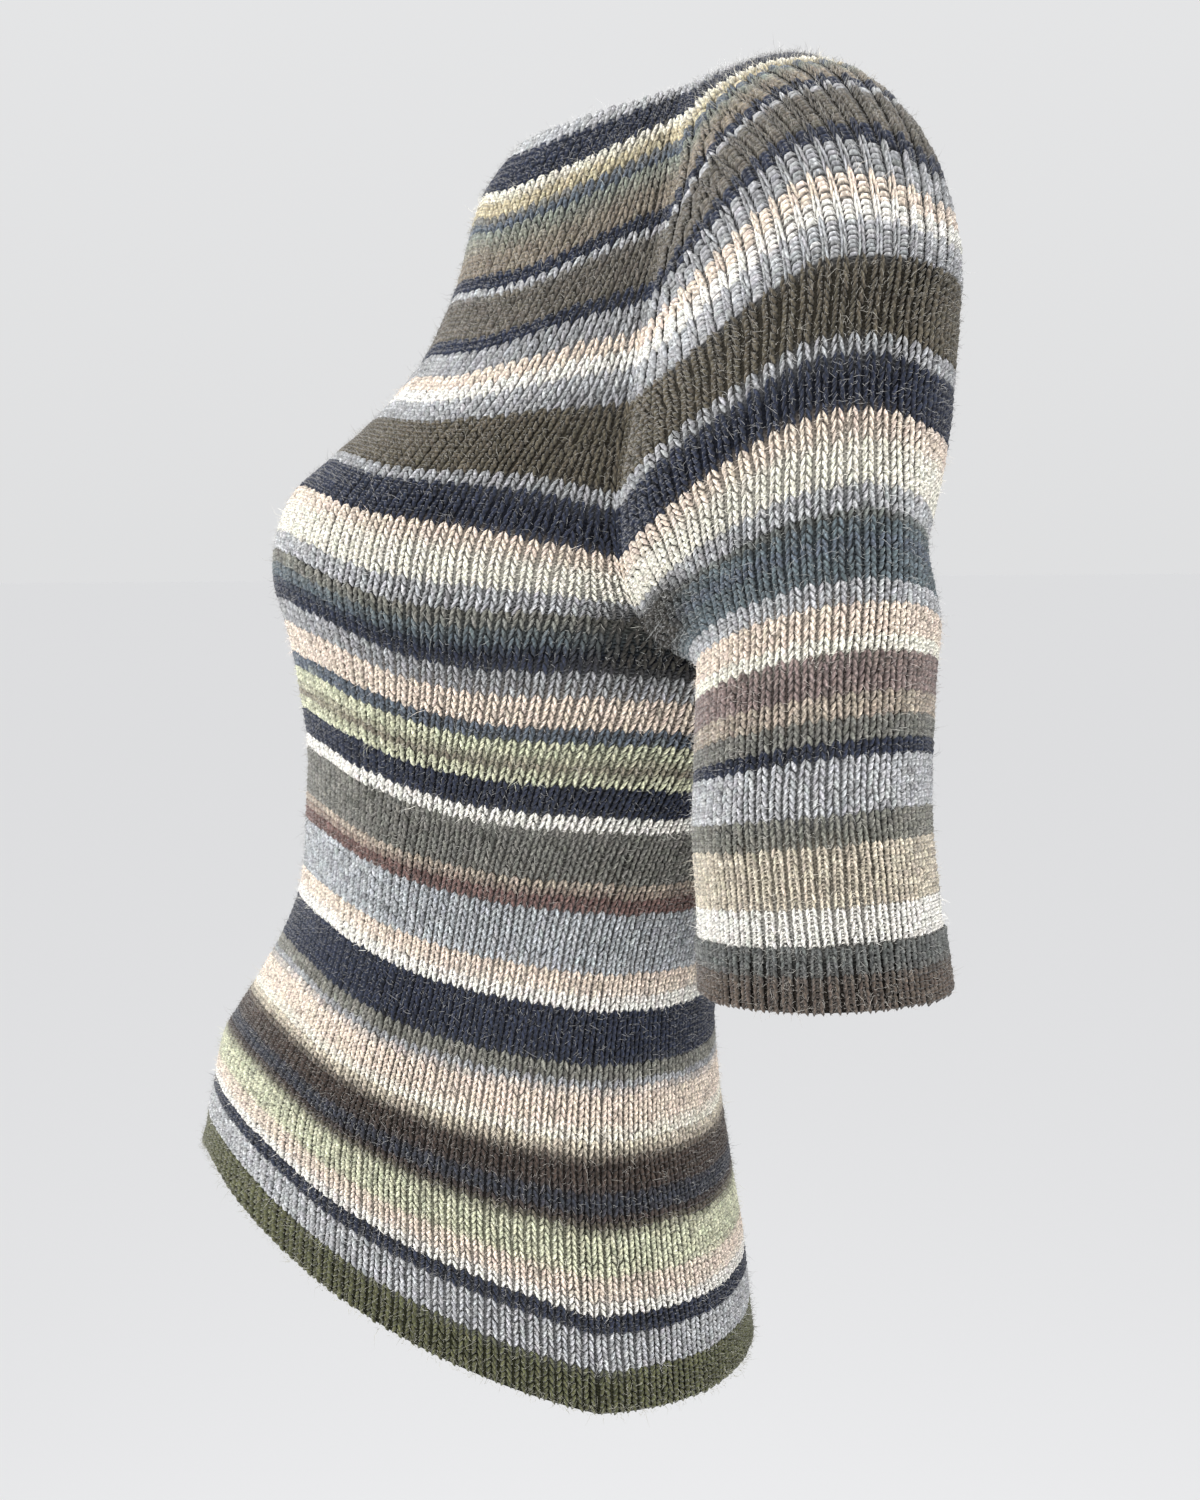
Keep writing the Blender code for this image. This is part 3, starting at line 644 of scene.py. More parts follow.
def blended(grid, i, j, a, b):
    """The grid between its entries i, j and i + 1, j + 1, the shares a and b of the way."""
    upper = grid[i, j] * (1 - b) + grid[i, j + 1] * b
    lower = grid[i + 1, j] * (1 - b) + grid[i + 1, j + 1] * b
    return upper * (1 - a) + lower * a


class Hang:
    """How many rounds lower than the form's rows a piece's rounds hang."""

    SHARES = np.linspace(-1, 1, 81)  # places along a round, from one edge to the other
    SOFTENING = np.hanning(13)[1:-1]  # how much a place takes from each of its neighbours
    EDGE_POWER = 8  # high: the hang runs out close to the piece's edges

    def __init__(self, table):
        places = table[0][1:]
        columns = read(table, np.arange(HEM + 1))
        values = np.stack([columns[place] for place in places], axis=-1)
        spread = np.abs(self.SHARES) if min(places) >= 0 else self.SHARES
        rows = np.array([np.interp(spread, places, row) for row in values])
        reach = len(self.SOFTENING) // 2
        padded = np.pad(rows, ((0, 0), (reach, reach)), mode="edge")
        weights = self.SOFTENING / self.SOFTENING.sum()
        self.grid = np.array([np.convolve(row, weights, "valid") for row in padded])
        self.grid *= 1 - np.abs(self.SHARES) ** self.EDGE_POWER

    def at(self, rounds, shares):
        row = np.clip(rounds, 0, HEM - 0.001)
        column = (np.clip(shares, -1, 1) + 1) / 2 * (len(self.SHARES) - 1)
        i = row.astype(int)
        j = np.clip(column.astype(int), 0, len(self.SHARES) - 2)
        return blended(self.grid, i, j, row - i, column - j)


class Cloth:
    """A piece of the knitting: places and outward directions, by round and wale.

    counts are the form's wales from the middle to a raglan line, and columns those of the stitches
    where they are fewer. hand tells which way the wales run. A ring closes below the underarm.
    """

    ROUND_STEP = 0.5
    WALE_STEP = 0.25
    EDGE_WALES = 0.2  # next to a raglan line, where the directions are taken from inside it
    OVERLAP = 1  # wales by which the grid of a ring reaches past its start

    def __init__(self, place, last, counts, half_width, hand, hang, ring=False, columns=None):
        overlap = self.OVERLAP if ring else 0
        self.rounds = even_steps(0, last, self.ROUND_STEP)
        self.wales = even_steps(-half_width - overlap, half_width + overlap, self.WALE_STEP)
        self.counts, self.columns = counts, columns or counts
        self.half_width, self.hand, self.hang, self.ring = half_width, hand, hang, ring
        flip = (-1, 1, 1) if ring and hand < 0 else (1, 1, 1)
        self.points = np.array([place(r, self.wales) for r in self.rounds]) * flip
        self.down = np.gradient(self.points, self.ROUND_STEP, axis=0)
        start = int(UNDERARM / self.ROUND_STEP)
        self.down[start] = (self.points[start + 1] - self.points[start]) / self.ROUND_STEP
        normals = np.cross(self.down, np.gradient(self.points, self.wales, axis=1)) * hand
        for row in range(start):
            edge = self.form_reach(self.rounds[row]) - self.EDGE_WALES
            inside = np.flatnonzero(np.abs(self.wales) <= edge)
            nearest = np.clip(np.arange(len(self.wales)), inside[0], inside[-1])
            normals[row] = normals[row][nearest]
            self.down[row] = self.down[row][nearest]
        self.normals = unit(normals)
        lengths = np.linalg.norm(np.diff(self.points, axis=1), axis=-1).sum(axis=1)
        lengths[start:] *= half_width / (half_width + overlap)
        self.widths = lengths / 2 / self.reach(self.rounds)

    def form_reach(self, rounds):
        """The form's own wales from the middle to the raglan line, which ends at the underarm."""
        return between(self.counts, rounds)

    def yoke_reach(self, rounds):
        """Columns of stitches from the middle to the raglan line."""
        return between(self.columns, rounds)

    def reach(self, rounds):
        """Columns of stitches from the middle to the piece's edge."""
        return np.where(rounds < UNDERARM, self.yoke_reach(rounds), self.half_width)

    def wale_width(self, rounds):
        """How wide a column of stitches is, in metres."""
        return np.interp(rounds, self.rounds, self.widths)

    def at(self, rounds, wales):
        """Places and outward directions, carried straight on past the first and last round."""
        last_count = self.counts[-1][1]
        widened = np.interp(rounds, (UNDERARM, UNDERARM + HANG_ROUNDS), (last_count, self.half_width))
        width = np.where(rounds < UNDERARM, self.yoke_reach(rounds), widened)
        share = wales / width
        form_rounds = rounds + self.hang.at(rounds, share)
        if self.columns is not self.counts:
            bunched = CROWDING * ramp(UNDERARM - rounds, 0, CROWDING_FADE)
            share = share * (1 - bunched * (1 - np.clip(share**2, 0, 1)))
        form_wales = share * width * self.form_reach(form_rounds) / self.yoke_reach(rounds)
        underarm = np.abs(form_wales) > last_count + PAST_LINE
        inside = np.clip(form_rounds, np.where(underarm, UNDERARM, 0), self.rounds[-1])
        row = inside / self.ROUND_STEP
        column = (form_wales - self.wales[0]) / self.WALE_STEP
        i = np.clip(row.astype(int), 0, len(self.rounds) - 2)
        j = np.clip(column.astype(int), 0, len(self.wales) - 2)
        shares = (row - i)[..., None], np.clip(column - j, 0, 1)[..., None]
        carried = blended(self.down, i, j, *shares) * (form_rounds - inside)[..., None]
        places = blended(self.points, i, j, *shares) + carried
        return places, unit(blended(self.normals, i, j, *shares))


def make_cloths():
    cloths = {}
    for side, hand, table in (("front", 1, FRONT_HANG), ("back", -1, BACK_HANG)):
        place = partial(body_places, side)
        cloths[side] = Cloth(place, HEM, BODY_STITCHES, HALF_BODY, hand, Hang(table))
    hang = Hang(SLEEVE_HANG)
    for side, hand in (("left", 1), ("right", -1)):
        for name, columns in (("sleeve_", CAP_COLUMNS), ("neck_", NECK_COLUMNS)):
            cloths[name + side] = Cloth(
                sleeve_places, CUFF_EDGE, CAP_STITCHES, SLEEVE_WALES / 2, hand, hang,
                ring=True, columns=columns,
            )
    return cloths


# ---- Colour ----

def linear(colour):
    srgb = np.array(colour, float) / 255
    return np.where(srgb <= 0.04045, srgb / 12.92, ((srgb + 0.055) / 1.055) ** 2.4)


def stripe_colours(stripes, rounds):
    """The yarn's colour at each round: one stripe after the other, blending over its own rounds."""
    colours = np.broadcast_to(linear(PALETTE[stripes[0][1]]), (*np.shape(rounds), 3))
    for start, name, blend in stripes[1:]:
        half = max(blend, SHARPEST) / 2
        share = ramp(rounds, start - half, start + half)[..., None]
        colours = colours * (1 - share) + linear(PALETTE[name]) * share
    return colours


def smooth_noise(length, step):
    """Noise from -1 to 1 that changes over about step samples."""
    knots = rng.uniform(-1, 1, int(length / step) + 3)
    return np.interp(np.arange(length) / step, np.arange(len(knots)), knots)


def uneven(rounds, wales, amount, round_cell, wale_cell):
    """Smooth unevenness over the cloth, from -amount to amount."""
    row = (rounds - rounds.min()) / round_cell
    column = (wales - wales.min()) / wale_cell
    grid = rng.uniform(-amount, amount, (int(row.max()) + 2, int(column.max()) + 2))
    i, j = row.astype(int), column.astype(int)
    return blended(grid, i, j, smooth(row - i), smooth(column - j))


# ---- Stitches ----

def template(line, side=1, across_round=False):
    """The points of one leg. With across_round it lies across the column, as a purl bar does."""
    points = []
    for k, (wale, round_, half_width, crest, edge) in enumerate(line):
        along = k / (len(line) - 1)
        if half_width == 0:
            # Painted shade at the leg's two ends
            shade = FOOT_PAINTED_SHADE if k else TOP_PAINTED_SHADE
            points.append((wale * side, round_, crest, shade, along, 0.5, 0))
            continue
        # Painted shade on the edges, painted highlight on the crest
        for across, shade in SECTION:
            height = edge if across else crest
            place, aside = (wale * side, round_), across * half_width
            if across_round:
                place, aside = (wale, round_ - across * half_width), 0
            points.append((*place, height, shade, along, across / 2 + 0.5, aside))
    return np.array(points)


KNIT = np.stack([template(LEFT_LEG, -1), template(RIGHT_LEG, 1)])
PURL = np.stack([template(PURL_BAR, across_round=True)] * 2)
PURL[1, :, ROUND] += BAR_PITCH


def copies(stitch, count):
    """The stitch count times over, as an array by stitch, leg, point and value."""
    return np.tile(stitch, (count, 1, 1, 1))


def stitch_places(first, last, cloth):
    """Round and wale of every stitch between two rounds, and half the columns of its round."""
    places = []
    for round_ in range(first, last):
        half = int(np.round(cloth.reach(round_ + 0.5)))
        places += [(round_, wale + 0.5, half) for wale in range(-half, half)]
    return np.array(places, float)


def eased(rounds, wales, middles, halves, cloth):
    """Draws the outermost columns in or out, so that the last ends beside the raglan column."""
    share = ramp(np.abs(middles) - halves, -EASED_COLUMNS, 0)
    closed = ramp(rounds, UNDERARM - RAGLAN_END, UNDERARM)
    room = RAGLAN_ROOM * (1 - closed) / cloth.wale_width(rounds)
    below = halves > cloth.counts[-1][1]
    line = np.where(below, np.inf, cloth.yoke_reach(rounds))
    edge = np.where(below, halves, line - room)
    drawn = wales + np.sign(middles) * (edge - halves) * share**EASED_POWER
    return np.clip(drawn, -line, line)


def underarm_corner(rounds, wales, cloth):
    """1 for the gathered stitches at the underarm, which wander more and are darkened with painted shade,
    0 away from it.
    """
    gathered = GATHERED_SLEEVE if cloth.ring else GATHERED_BODY
    beside = ramp(np.abs(wales), *(cloth.counts[-1][1] - columns for columns in gathered))
    start, full, full_end, end = GATHERED_ROUNDS
    return beside * ramp(rounds, start, full) * (1 - ramp(rounds, full_end, end))


def knit(name, cloth, region, lift=0.0, opens=False):
    """All the stitches of a region. Where it opens, the legs lie further apart, and the strand
    between them shows as rungs."""
    first, last, stripes = region
    places = stitch_places(first, last, cloth)
    shapes = copies(KNIT, len(places))
    shapes[..., HEIGHT] += lift
    if opens:
        opened = ramp(places[:, 0], *OPEN_ROUNDS)
        pulled = np.sign(shapes[..., WALE]) * OPEN_LEG - shapes[..., WALE]
        shapes[..., WALE] += pulled * OPEN_PULL * opened[:, None, None]
        shapes[..., ASIDE] *= 1 - OPEN_THINNING * opened[:, None, None]
        with_rungs = opened > OPEN_RUNGS
        rungs = copies(PURL, with_rungs.sum())
        rungs[..., WALE] *= RUNG_WIDTH
        rungs[..., HEIGHT] += lift - RUNG_DEPTH
        # More painted shade on the deeper rungs
        rungs[..., PAINTED_SHADING] *= RUNG_PAINTED_SHADE
        shapes = np.concatenate([shapes, rungs])
        places = np.concatenate([places, places[with_rungs]])
    return stitches(name, cloth, places, shapes, stripes)


def ribs(name, cloth, region):
    """A region in ribs: raised columns of knit stitches, and between them short bars."""
    first, last, stripes = region
    places = stitch_places(first, last, cloth)
    raised = copies(KNIT, len(places))
    raised[..., WALE] *= RIB_SPREAD
    raised[..., HEIGHT] += RIB_LIFT
    raised[..., ASIDE] *= RIB_LEG
    sunk = copies(PURL, len(places))
    sunk[..., WALE] += 0.5 * cloth.hand
    first_column = places[:, 1] < 1 - places[:, 2]
    before = sunk[first_column]
    before[..., WALE] -= cloth.hand
    shapes = np.concatenate([raised, sunk, before])
    places = np.concatenate([places, places, places[first_column]])
    return stitches(name, cloth, places, shapes, stripes)


def stitches(name, cloth, places, shapes, stripes):
    """Lays the shapes on the cloth, each a little unlike the next."""
    rounds, wales, halves = places.T
    gathered_and_shaded = underarm_corner(rounds, wales, cloth)
    wander = rng.normal(0, 1, (len(rounds), 2, 1, 3)) * (1 + 2 * gathered_and_shaded[:, None, None, None])
    for value, leg, *patch in STRAY[1:]:
        drift = uneven(rounds, wales, *patch)[:, None, None]
        shapes[..., value] += wander[..., value] * leg + drift
    middles = wales[:, None, None]
    at_rounds = rounds[:, None, None] + shapes[..., ROUND]
    aside = shapes[..., ASIDE] / cloth.wale_width(rounds)[:, None, None]
    spread = middles + cloth.hand * (shapes[..., WALE] + aside)
    drawn = eased(at_rounds, spread, middles, halves[:, None, None], cloth)
    points, normals = cloth.at(at_rounds, drawn)
    points += normals * shapes[..., HEIGHT, None]
    run = (rounds * RUN_PER_ROUND + wales * cloth.hand).astype(int)
    return stitch_mesh(name, points, shapes, rounds, run, gathered_and_shaded, stripes)


def raglan_column(cloths, side, end):
    """One column of stitches along a raglan line, between the front or back and a sleeve."""
    body, cap = cloths[end], cloths["sleeve_" + side]
    body_side = 1 if side == "left" else -1
    cap_side = -1 if end == "front" else 1
    rounds = np.arange(0, UNDERARM + 1, dtype=float)
    shapes = copies(KNIT, len(rounds))
    shapes[..., ROUND] += rng.normal(0, RAGLAN_STRAY, (len(rounds), 2, 1))
    at_rounds = rounds[:, None, None] + shapes[..., ROUND]
    line, body_normals = body.at(at_rounds, body_side * body.yoke_reach(at_rounds))
    _, cap_normals = cap.at(at_rounds, cap_side * cap.yoke_reach(at_rounds))
    further, _ = body.at(at_rounds + 0.5, body_side * body.yoke_reach(at_rounds + 0.5))
    normals = unit(body_normals + cap_normals)
    across = unit(np.cross(normals, further - line))
    aside = shapes[..., WALE, None] * RAGLAN_WALE + shapes[..., ASIDE, None]
    points = line + across * aside + normals * (shapes[..., HEIGHT, None] + RAGLAN_LIFT)
    # Near the underarm the raglan column takes on painted shade
    gathered_and_shaded, run = ramp(rounds, *RAGLAN_PAINTED_SHADE_ROUNDS), rounds.astype(int)
    name = f"raglan_{side}_{end}"
    return stitch_mesh(name, points, shapes, rounds, run, gathered_and_shaded, YOKE_STRIPES)


def stitch_mesh(name, points, shapes, rounds, run, gathered_and_shaded, stripes):
    """Stitches as one mesh. run numbers them along the yarn, which changes colour slowly.
    A share tells how far each is one of the gathered underarm stitches, which are darkened with painted
    shade."""
    count = len(rounds)
    run = run - run.min()
    marl = sum(smooth_noise(run.max() + 1, length)[run] for length in MARL_LENGTHS) / 2
    colours = stripe_colours(stripes, rounds + 0.5 + marl * MARL_BLEED)
    # Painted shade: the gathered underarm stitches are blended towards a dark colour
    underarm_shade_colour = linear(PALETTE["underarm"])
    colours = colours * (1 - gathered_and_shaded[:, None]) + underarm_shade_colour * gathered_and_shaded[:, None]
    tone = 1 + MARL_TONE * marl[:, None] + rng.normal(0, LEG_TONE, (count, 2))
    tint = rng.normal(1, LEG_TINT, (count, 2, 1, 3))
    # Besides tint and tone, each leg takes painted shade at its edges and ends and a painted highlight on
    # its crest
    colours = colours[:, None, None] * tint * tone[..., None, None] * shapes[..., PAINTED_SHADING, None]
    colours *= np.minimum(1, LIGHTEST / colours.max(axis=-1, keepdims=True))
    starts = np.arange(count * 2)[:, None, None] * KNIT.shape[1]
    faces = [(starts + corners).reshape(-1, corners.shape[1]) for corners in LEG_FACES]
    uvs = shapes[..., [ALONG, ACROSS]].reshape(-1, 2)
    return mesh_object(name, points.reshape(-1, 3), faces, colours.reshape(-1, 3), uvs, yarn)


def mesh_object(name, points, faces, colours, uvs, material):
    """faces is a list of index arrays, one for each number of corners."""
    mesh = bpy.data.meshes.new(name)
    loops = np.concatenate([f.ravel() for f in faces])
    counts = np.concatenate([np.full(len(f), f.shape[1]) for f in faces])
    mesh.vertices.add(len(points))
    mesh.vertices.foreach_set("co", points.astype(np.float32).ravel())
    mesh.loops.add(len(loops))
    mesh.loops.foreach_set("vertex_index", loops.astype(np.int32))
    mesh.polygons.add(len(counts))
    starts = np.concatenate([[0], np.cumsum(counts)[:-1]])
    mesh.polygons.foreach_set("loop_start", starts.astype(np.int32))
    mesh.update(calc_edges=True)
    mesh.polygons.foreach_set("use_smooth", np.full(len(counts), True))
    layer = mesh.color_attributes.new(COLOUR_LAYER, "FLOAT_COLOR", "POINT")
    rgba = np.insert(colours, 3, 1, axis=1)
    layer.data.foreach_set("color", rgba.astype(np.float32).ravel())
    uv_layer = mesh.uv_layers.new(name=UV_LAYER)
    uv_layer.data.foreach_set("uv", uvs[loops].astype(np.float32).ravel())
    mesh.materials.append(material)
    obj = bpy.data.objects.new(name, mesh)
    scene.collection.objects.link(obj)
    return obj


# ---- Loose fibres ----

def fibres(name, cloth, region, count):
    """Fine hairs that stand off the yarn: narrow ribbons of two lengths, bent once."""
    first, last, stripes = region
    rounds = rng.uniform(first, last, count)
    for edge, inwards in ((0, 1), (HEM, -1), (CUFF_EDGE, -1)):
        if edge in (first, last):
            near = edge + inwards * rng.uniform(*EDGE_BAND, count)
            rounds = np.where(rng.random(count) < EDGE_SHARE, near, rounds)
    wales = rng.uniform(-1, 1, count) * cloth.reach(rounds)
    roots, normals = cloth.at(rounds, wales)
    aside = rng.normal(0, 1, (count, 3))
    aside = unit(aside - normals * (aside * normals).sum(-1, keepdims=True))
    short, long = FIBRE_LENGTHS
    lengths = np.where(rng.random(count) < LONG_SHARE, long, short)
    lengths = (lengths * rng.lognormal(0, FIBRE_SPREAD, count))[:, None]
    lean = rng.uniform(*FIBRE_LEAN, (count, 1))
    start = roots + normals * FIBRE_ROOT
    middle = start + unit(normals + aside * lean) * lengths * FIBRE_BEND
    curl = rng.normal(0, FIBRE_CURL, (count, 3))
    end = middle + unit(normals * 0.5 + aside * lean + curl) * lengths * (1 - FIBRE_BEND)
    across = unit(np.cross(aside, normals) + 0.5 * curl) * FIBRE_WIDTH / 2
    corners = [start - across, start + across, middle + across, middle - across, end]
    points = np.stack(corners, axis=1)
    base = np.arange(count)[:, None] * len(corners)
    pale = linear(PALETTE["white"]) * FIBRE_PALENESS
    colours = stripe_colours(stripes, rounds) * (1 - FIBRE_PALENESS) + pale
    return mesh_object(
        name, points.reshape(-1, 3), [base + (3, 2, 4), base + (0, 1, 2, 3)],
        np.repeat(colours, len(corners), axis=0), np.full((points.size // 3, 2), 0.5), nap,
    )


# ---- The thin cloth under the stitches ----

def backing(name, cloth, regions):
    """A thin closed cloth, for each region with so many faces to a round."""
    points, faces, colours, uvs = [], [], [], []
    start = 0

    def quads(a, b, c, d):
        quad = np.stack([a, b, c, d], axis=-1).reshape(-1, 4)
        faces.append(quad if cloth.hand > 0 else quad[:, ::-1])

    for (first, last, stripes), count in regions:
        below = first >= UNDERARM
        closed = cloth.ring and below
        rounds = even_steps(first, last, BACKING_STEP)[:, None]
        shares = np.linspace(-1, 1, count + 1)[: count if closed else None]
        wales = shares * (cloth.reach(rounds) if below else cloth.yoke_reach(rounds))
        rounds = np.broadcast_to(rounds, wales.shape)
        places, normals = cloth.at(rounds, wales)
        colour = stripe_colours(stripes, rounds)
        # The outer face, seen in the gaps between the stitches, takes painted shade
        for depth, shade in ((FACE_DEPTH, FACE_PAINTED_SHADE), (BACK_DEPTH, BACK_SHADE)):
            points.append((places - normals * depth).reshape(-1, 3))
            colours.append((colour * shade).reshape(-1, 3))
            uvs.append(np.stack([wales, rounds], axis=-1).reshape(-1, 2))
        outer = np.arange(wales.size).reshape(wales.shape) + start
        if closed:
            outer = np.concatenate([outer, outer[:, :1]], axis=1)
        inner = outer + wales.size
        start += 2 * wales.size
        quads(outer[:-1, :-1], outer[1:, :-1], outer[1:, 1:], outer[:-1, 1:])
        quads(inner[:-1, :-1], inner[:-1, 1:], inner[1:, 1:], inner[1:, :-1])
        quads(outer[0, :-1], outer[0, 1:], inner[0, 1:], inner[0, :-1])
        quads(outer[-1, 1:], outer[-1, :-1], inner[-1, :-1], inner[-1, 1:])
        if not closed:
            quads(outer[1:, 0], outer[:-1, 0], inner[:-1, 0], inner[1:, 0])
            quads(outer[:-1, -1], outer[1:, -1], inner[1:, -1], inner[:-1, -1])
    return mesh_object(
        name, np.concatenate(points), [np.concatenate(faces)], np.concatenate(colours),
        np.concatenate(uvs), wrong_side,
    )


# ---- Materials ----

def new_material(name, roughness, specular):
    material = bpy.data.materials.new(name)
    material.use_nodes = True
    surface = material.node_tree.nodes["Principled BSDF"]
    surface.inputs["Roughness"].default_value = roughness
    surface.inputs["Specular IOR Level"].default_value = specular
    return material, material.node_tree, surface


def wire(tree, node, sockets):
    """Links each of the node's sockets to another node's output, or sets it to a value."""
    for name, value in dict(sockets).items():
        if isinstance(value, bpy.types.NodeSocket):
            tree.links.new(value, node.inputs[name])
        else:
            node.inputs[name].default_value = value


def added(tree, kind, sockets=(), **settings):
    """Adds a node and returns its outputs."""
    node = tree.nodes.new("ShaderNode" + kind)
    for name, value in settings.items():
        setattr(node, name, value)
    wire(tree, node, sockets)
    return node.outputs


def yarn_colour(tree):
    """The colour that the mesh's points carry."""
    return added(tree, "VertexColor", layer_name=COLOUR_LAYER)["Color"]


def surface_place(tree):
    """Place along and across a leg of yarn, or wale and round on the cloth."""
    place = added(tree, "UVMap", uv_map=UV_LAYER)
    return added(tree, "SeparateXYZ", {0: place["UV"]})


def sine(tree, angle):
    return added(tree, "Math", {0: angle}, operation="SINE")[0]


def product(tree, a, b):
    return added(tree, "Math", {0: a, 1: b}, operation="MULTIPLY")[0]


def stretched(tree, value, lowest, highest, least, most):
    """A value between lowest and highest, brought to between least and most."""
    sockets = {"Value": value, "From Min": lowest, "From Max": highest, "To Min": least, "To Max": most}
    return added(tree, "MapRange", sockets)["Result"]


def shaded(tree, share):
    """The yarn's colour times a share."""
    sockets = {0: yarn_colour(tree), "Scale": share}
    return added(tree, "VectorMath", sockets, operation="SCALE")["Vector"]


def relief(tree, height, strength, distance, sockets=()):
    """The direction of a surface with this relief."""
    sockets = {"Height": height, "Strength": strength, "Distance": distance, **dict(sockets)}
    return added(tree, "Bump", sockets)["Normal"]


def yarn_material():
    """Plied woollen yarn: its colour comes from the stitches, its plies from a fine relief. Between
    the plies it is darker and on them lighter, partly as marl and partly as painted shade and highlight.
    """
    material, tree, surface = new_material("yarn", roughness=0.9, specular=0.2)
    place = surface_place(tree)
    turns = added(tree, "Math", {0: place["X"], 1: PLY_TWIST, 2: place["Y"]}, operation="MULTIPLY_ADD")
    plies = sine(tree, product(tree, turns[0], TURN))
    where = added(tree, "TexCoord")["Object"]
    fuzz = added(tree, "TexNoise", {"Scale": FUZZ_SCALE, "Detail": 3, "Vector": where})["Fac"]
    # Darker between the plies and lighter on them: partly the marl's plies, partly painted shade and
    # highlight
    ply_marl_and_shading = stretched(tree, plies, -1, 1, *PLY_MARL_AND_PAINTED_SHADING)
    tone = stretched(tree, fuzz, 0.3, 0.7, *FUZZ_SHADES)
    plied = relief(tree, plies, 0.7, 0.0003)
    wire(tree, surface, {
        "Base Color": shaded(tree, product(tree, tone, ply_marl_and_shading)),
        "Normal": relief(tree, fuzz, 0.5, 0.0004, {"Normal": plied}),
        "Sheen Weight": 0.25,
        "Sheen Roughness": 0.5,
    })
    return material


def fibre_material():
    material, tree, surface = new_material("fibre", roughness=1, specular=0.1)
    wire(tree, surface, {"Base Color": yarn_colour(tree)})
    return material


def backing_material():
    """The wrong side of the knitting, with its rows of small bumps, two to a round, painted shade between
    them and painted highlight on them.
    """
    material, tree, surface = new_material("knit_back", roughness=0.95, specular=0.15)
    place = surface_place(tree)
    across = sine(tree, product(tree, place["X"], TURN))
    along = sine(tree, product(tree, place["Y"], 2 * TURN))
    bumps = product(tree, across, along)
    wire(tree, surface, {
        # Painted shade between the bumps, painted highlight on them
        "Base Color": shaded(tree, stretched(tree, bumps, -0.6, 0.6, *BUMP_PAINTED_SHADING)),
        "Normal": relief(tree, bumps, 0.9, 0.0016),
    })
    return material


# ---- The garment ----

def build():
    cloths = make_cloths()
    for side in ("front", "back"):
        cloth = cloths[side]
        base = backing(f"{side}_cloth", cloth, ((YOKE, 36), (BODY, 44)))
        finish_piece(side, base, [
            knit(f"{side}_yoke_stitches", cloth, YOKE),
            knit(f"{side}_body_stitches", cloth, BODY),
            fibres(f"{side}_yoke_fibres", cloth, YOKE, 11000),
            fibres(f"{side}_body_fibres", cloth, BODY, 20000),
        ])
    for side in ("left", "right"):
        cloth, neck = cloths["sleeve_" + side], cloths["neck_" + side]
        base = backing(f"sleeve_{side}_cloth", cloth, ((YOKE, 32), (TUBE, 44)))
        finish_piece(f"sleeve_{side}", base, [
            knit(f"cap_{side}_top_stitches", neck, ABOVE_RIBS),
            ribs(f"cap_{side}_rib_stitches", cloth, RIBS),
            knit(f"cap_{side}_stitches", cloth, BELOW_RIBS),
            knit(f"tube_{side}_stitches", cloth, TUBE, opens=True),
            raglan_column(cloths, side, "front"),
            raglan_column(cloths, side, "back"),
            fibres(f"cap_{side}_fibres", cloth, YOKE, 10000),
            fibres(f"tube_{side}_fibres", cloth, TUBE, 8000),
        ])
        base = backing(f"cuff_{side}_cloth", cloth, ((CUFF, 44),))
        finish_piece(f"cuff_{side}", base, [
            knit(f"cuff_{side}_stitches", cloth, CUFF, lift=CUFF_LIFT, opens=True),
            fibres(f"cuff_{side}_fibres", cloth, CUFF, 3000),
        ])


def finish_piece(node, base, pieces):
    for obj in (base, *pieces):
        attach(obj, "root")
        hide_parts(node)


# ---- The studio ----

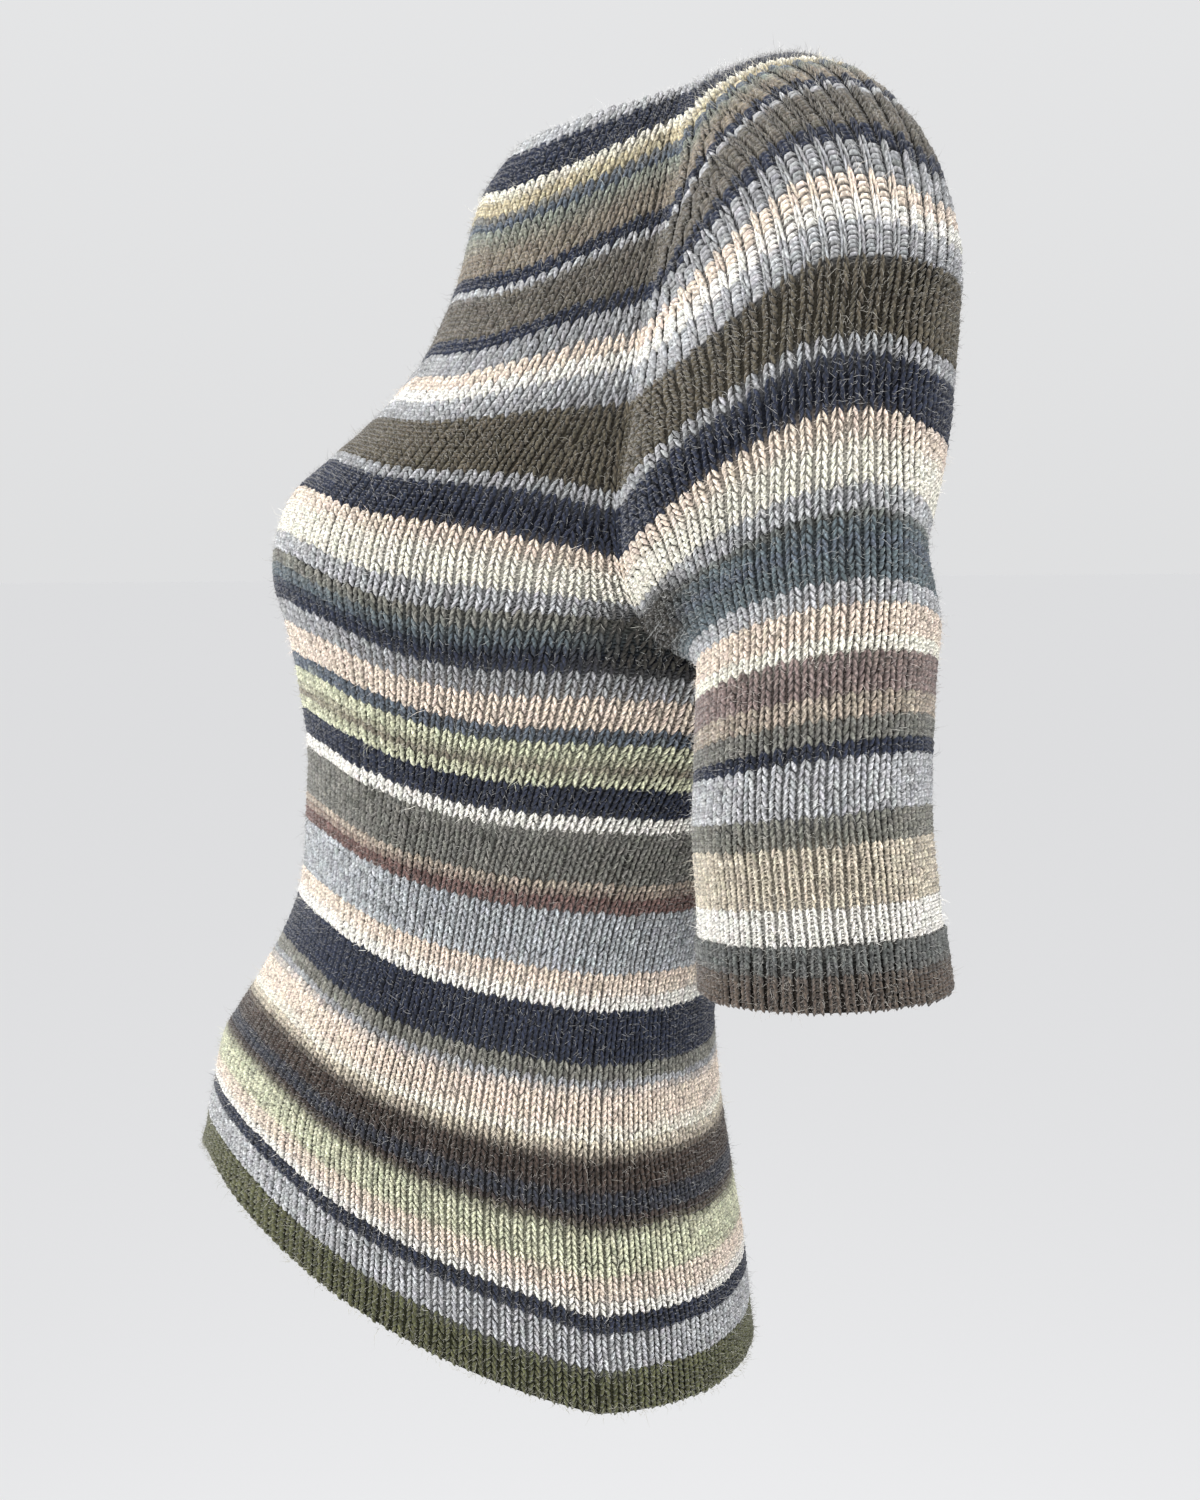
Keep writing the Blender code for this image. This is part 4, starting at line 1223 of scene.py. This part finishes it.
def placed(name, data, place, direction):
    """Puts a light or the camera into the scene, looking along a direction."""
    obj = bpy.data.objects.new(name, data)
    obj.location = place
    obj.rotation_euler = Vector(direction).to_track_quat("-Z", "Y").to_euler()
    scene.collection.objects.link(obj)
    return obj


def area_light(name, place, power):
    light = bpy.data.lights.new(name, "AREA")
    light.shape = "DISK"
    light.size = LIGHT_SIZE
    light.energy = power
    light.spread = np.radians(LIGHT_SPREAD)
    placed(name, light, place, Vector(LIGHT_TARGET) - Vector(place))


def studio_world():
    world = bpy.data.worlds.new("studio")
    scene.world = world
    world.use_nodes = True
    tree = world.node_tree
    direction = added(tree, "TexCoord")["Generated"]
    height = added(tree, "SeparateXYZ", {0: direction})["Z"]
    fade = tree.nodes.new("ShaderNodeValToRGB")
    fade.color_ramp.elements.new(SKY[1][0])
    for element, (place, level) in zip(fade.color_ramp.elements, SKY):
        element.position = place
        element.color = (*(level * tint for tint in SKY_TINT), 1)
    wire(tree, fade, {"Fac": height})
    wire(tree, tree.nodes["Background"], {"Color": fade.outputs["Color"]})


def stage():
    bpy.ops.mesh.primitive_plane_add(size=FLOOR_SIZE, location=(0, 0, FLOOR_LEVEL))
    floor = bpy.context.object
    floor.name = "floor"
    material, tree, surface = new_material("floor", roughness=1, specular=0)
    wire(tree, surface, {"Base Color": FLOOR_COLOUR})
    floor.data.materials.append(material)
    studio_world()
    for name, (place, power) in LIGHTS.items():
        area_light(name, place, power)
    scene.view_settings.view_transform = "Standard"


def camera():
    data = bpy.data.cameras.new("camera")
    data.sensor_width = data.lens = CAMERA_LENS
    data.clip_start = 0.01
    azimuth, drop_angle = np.radians(CAMERA_AZIMUTH), np.radians(CAMERA_DROP)
    level = np.cos(drop_angle)
    ahead = (-np.sin(azimuth) * level, np.cos(azimuth) * level, -np.sin(drop_angle))
    scene.camera = placed("camera", data, CAMERA_PLACE, ahead)


yarn, wrong_side, nap = yarn_material(), backing_material(), fibre_material()
build()
stage()
camera()
bpy.context.view_layer.update()
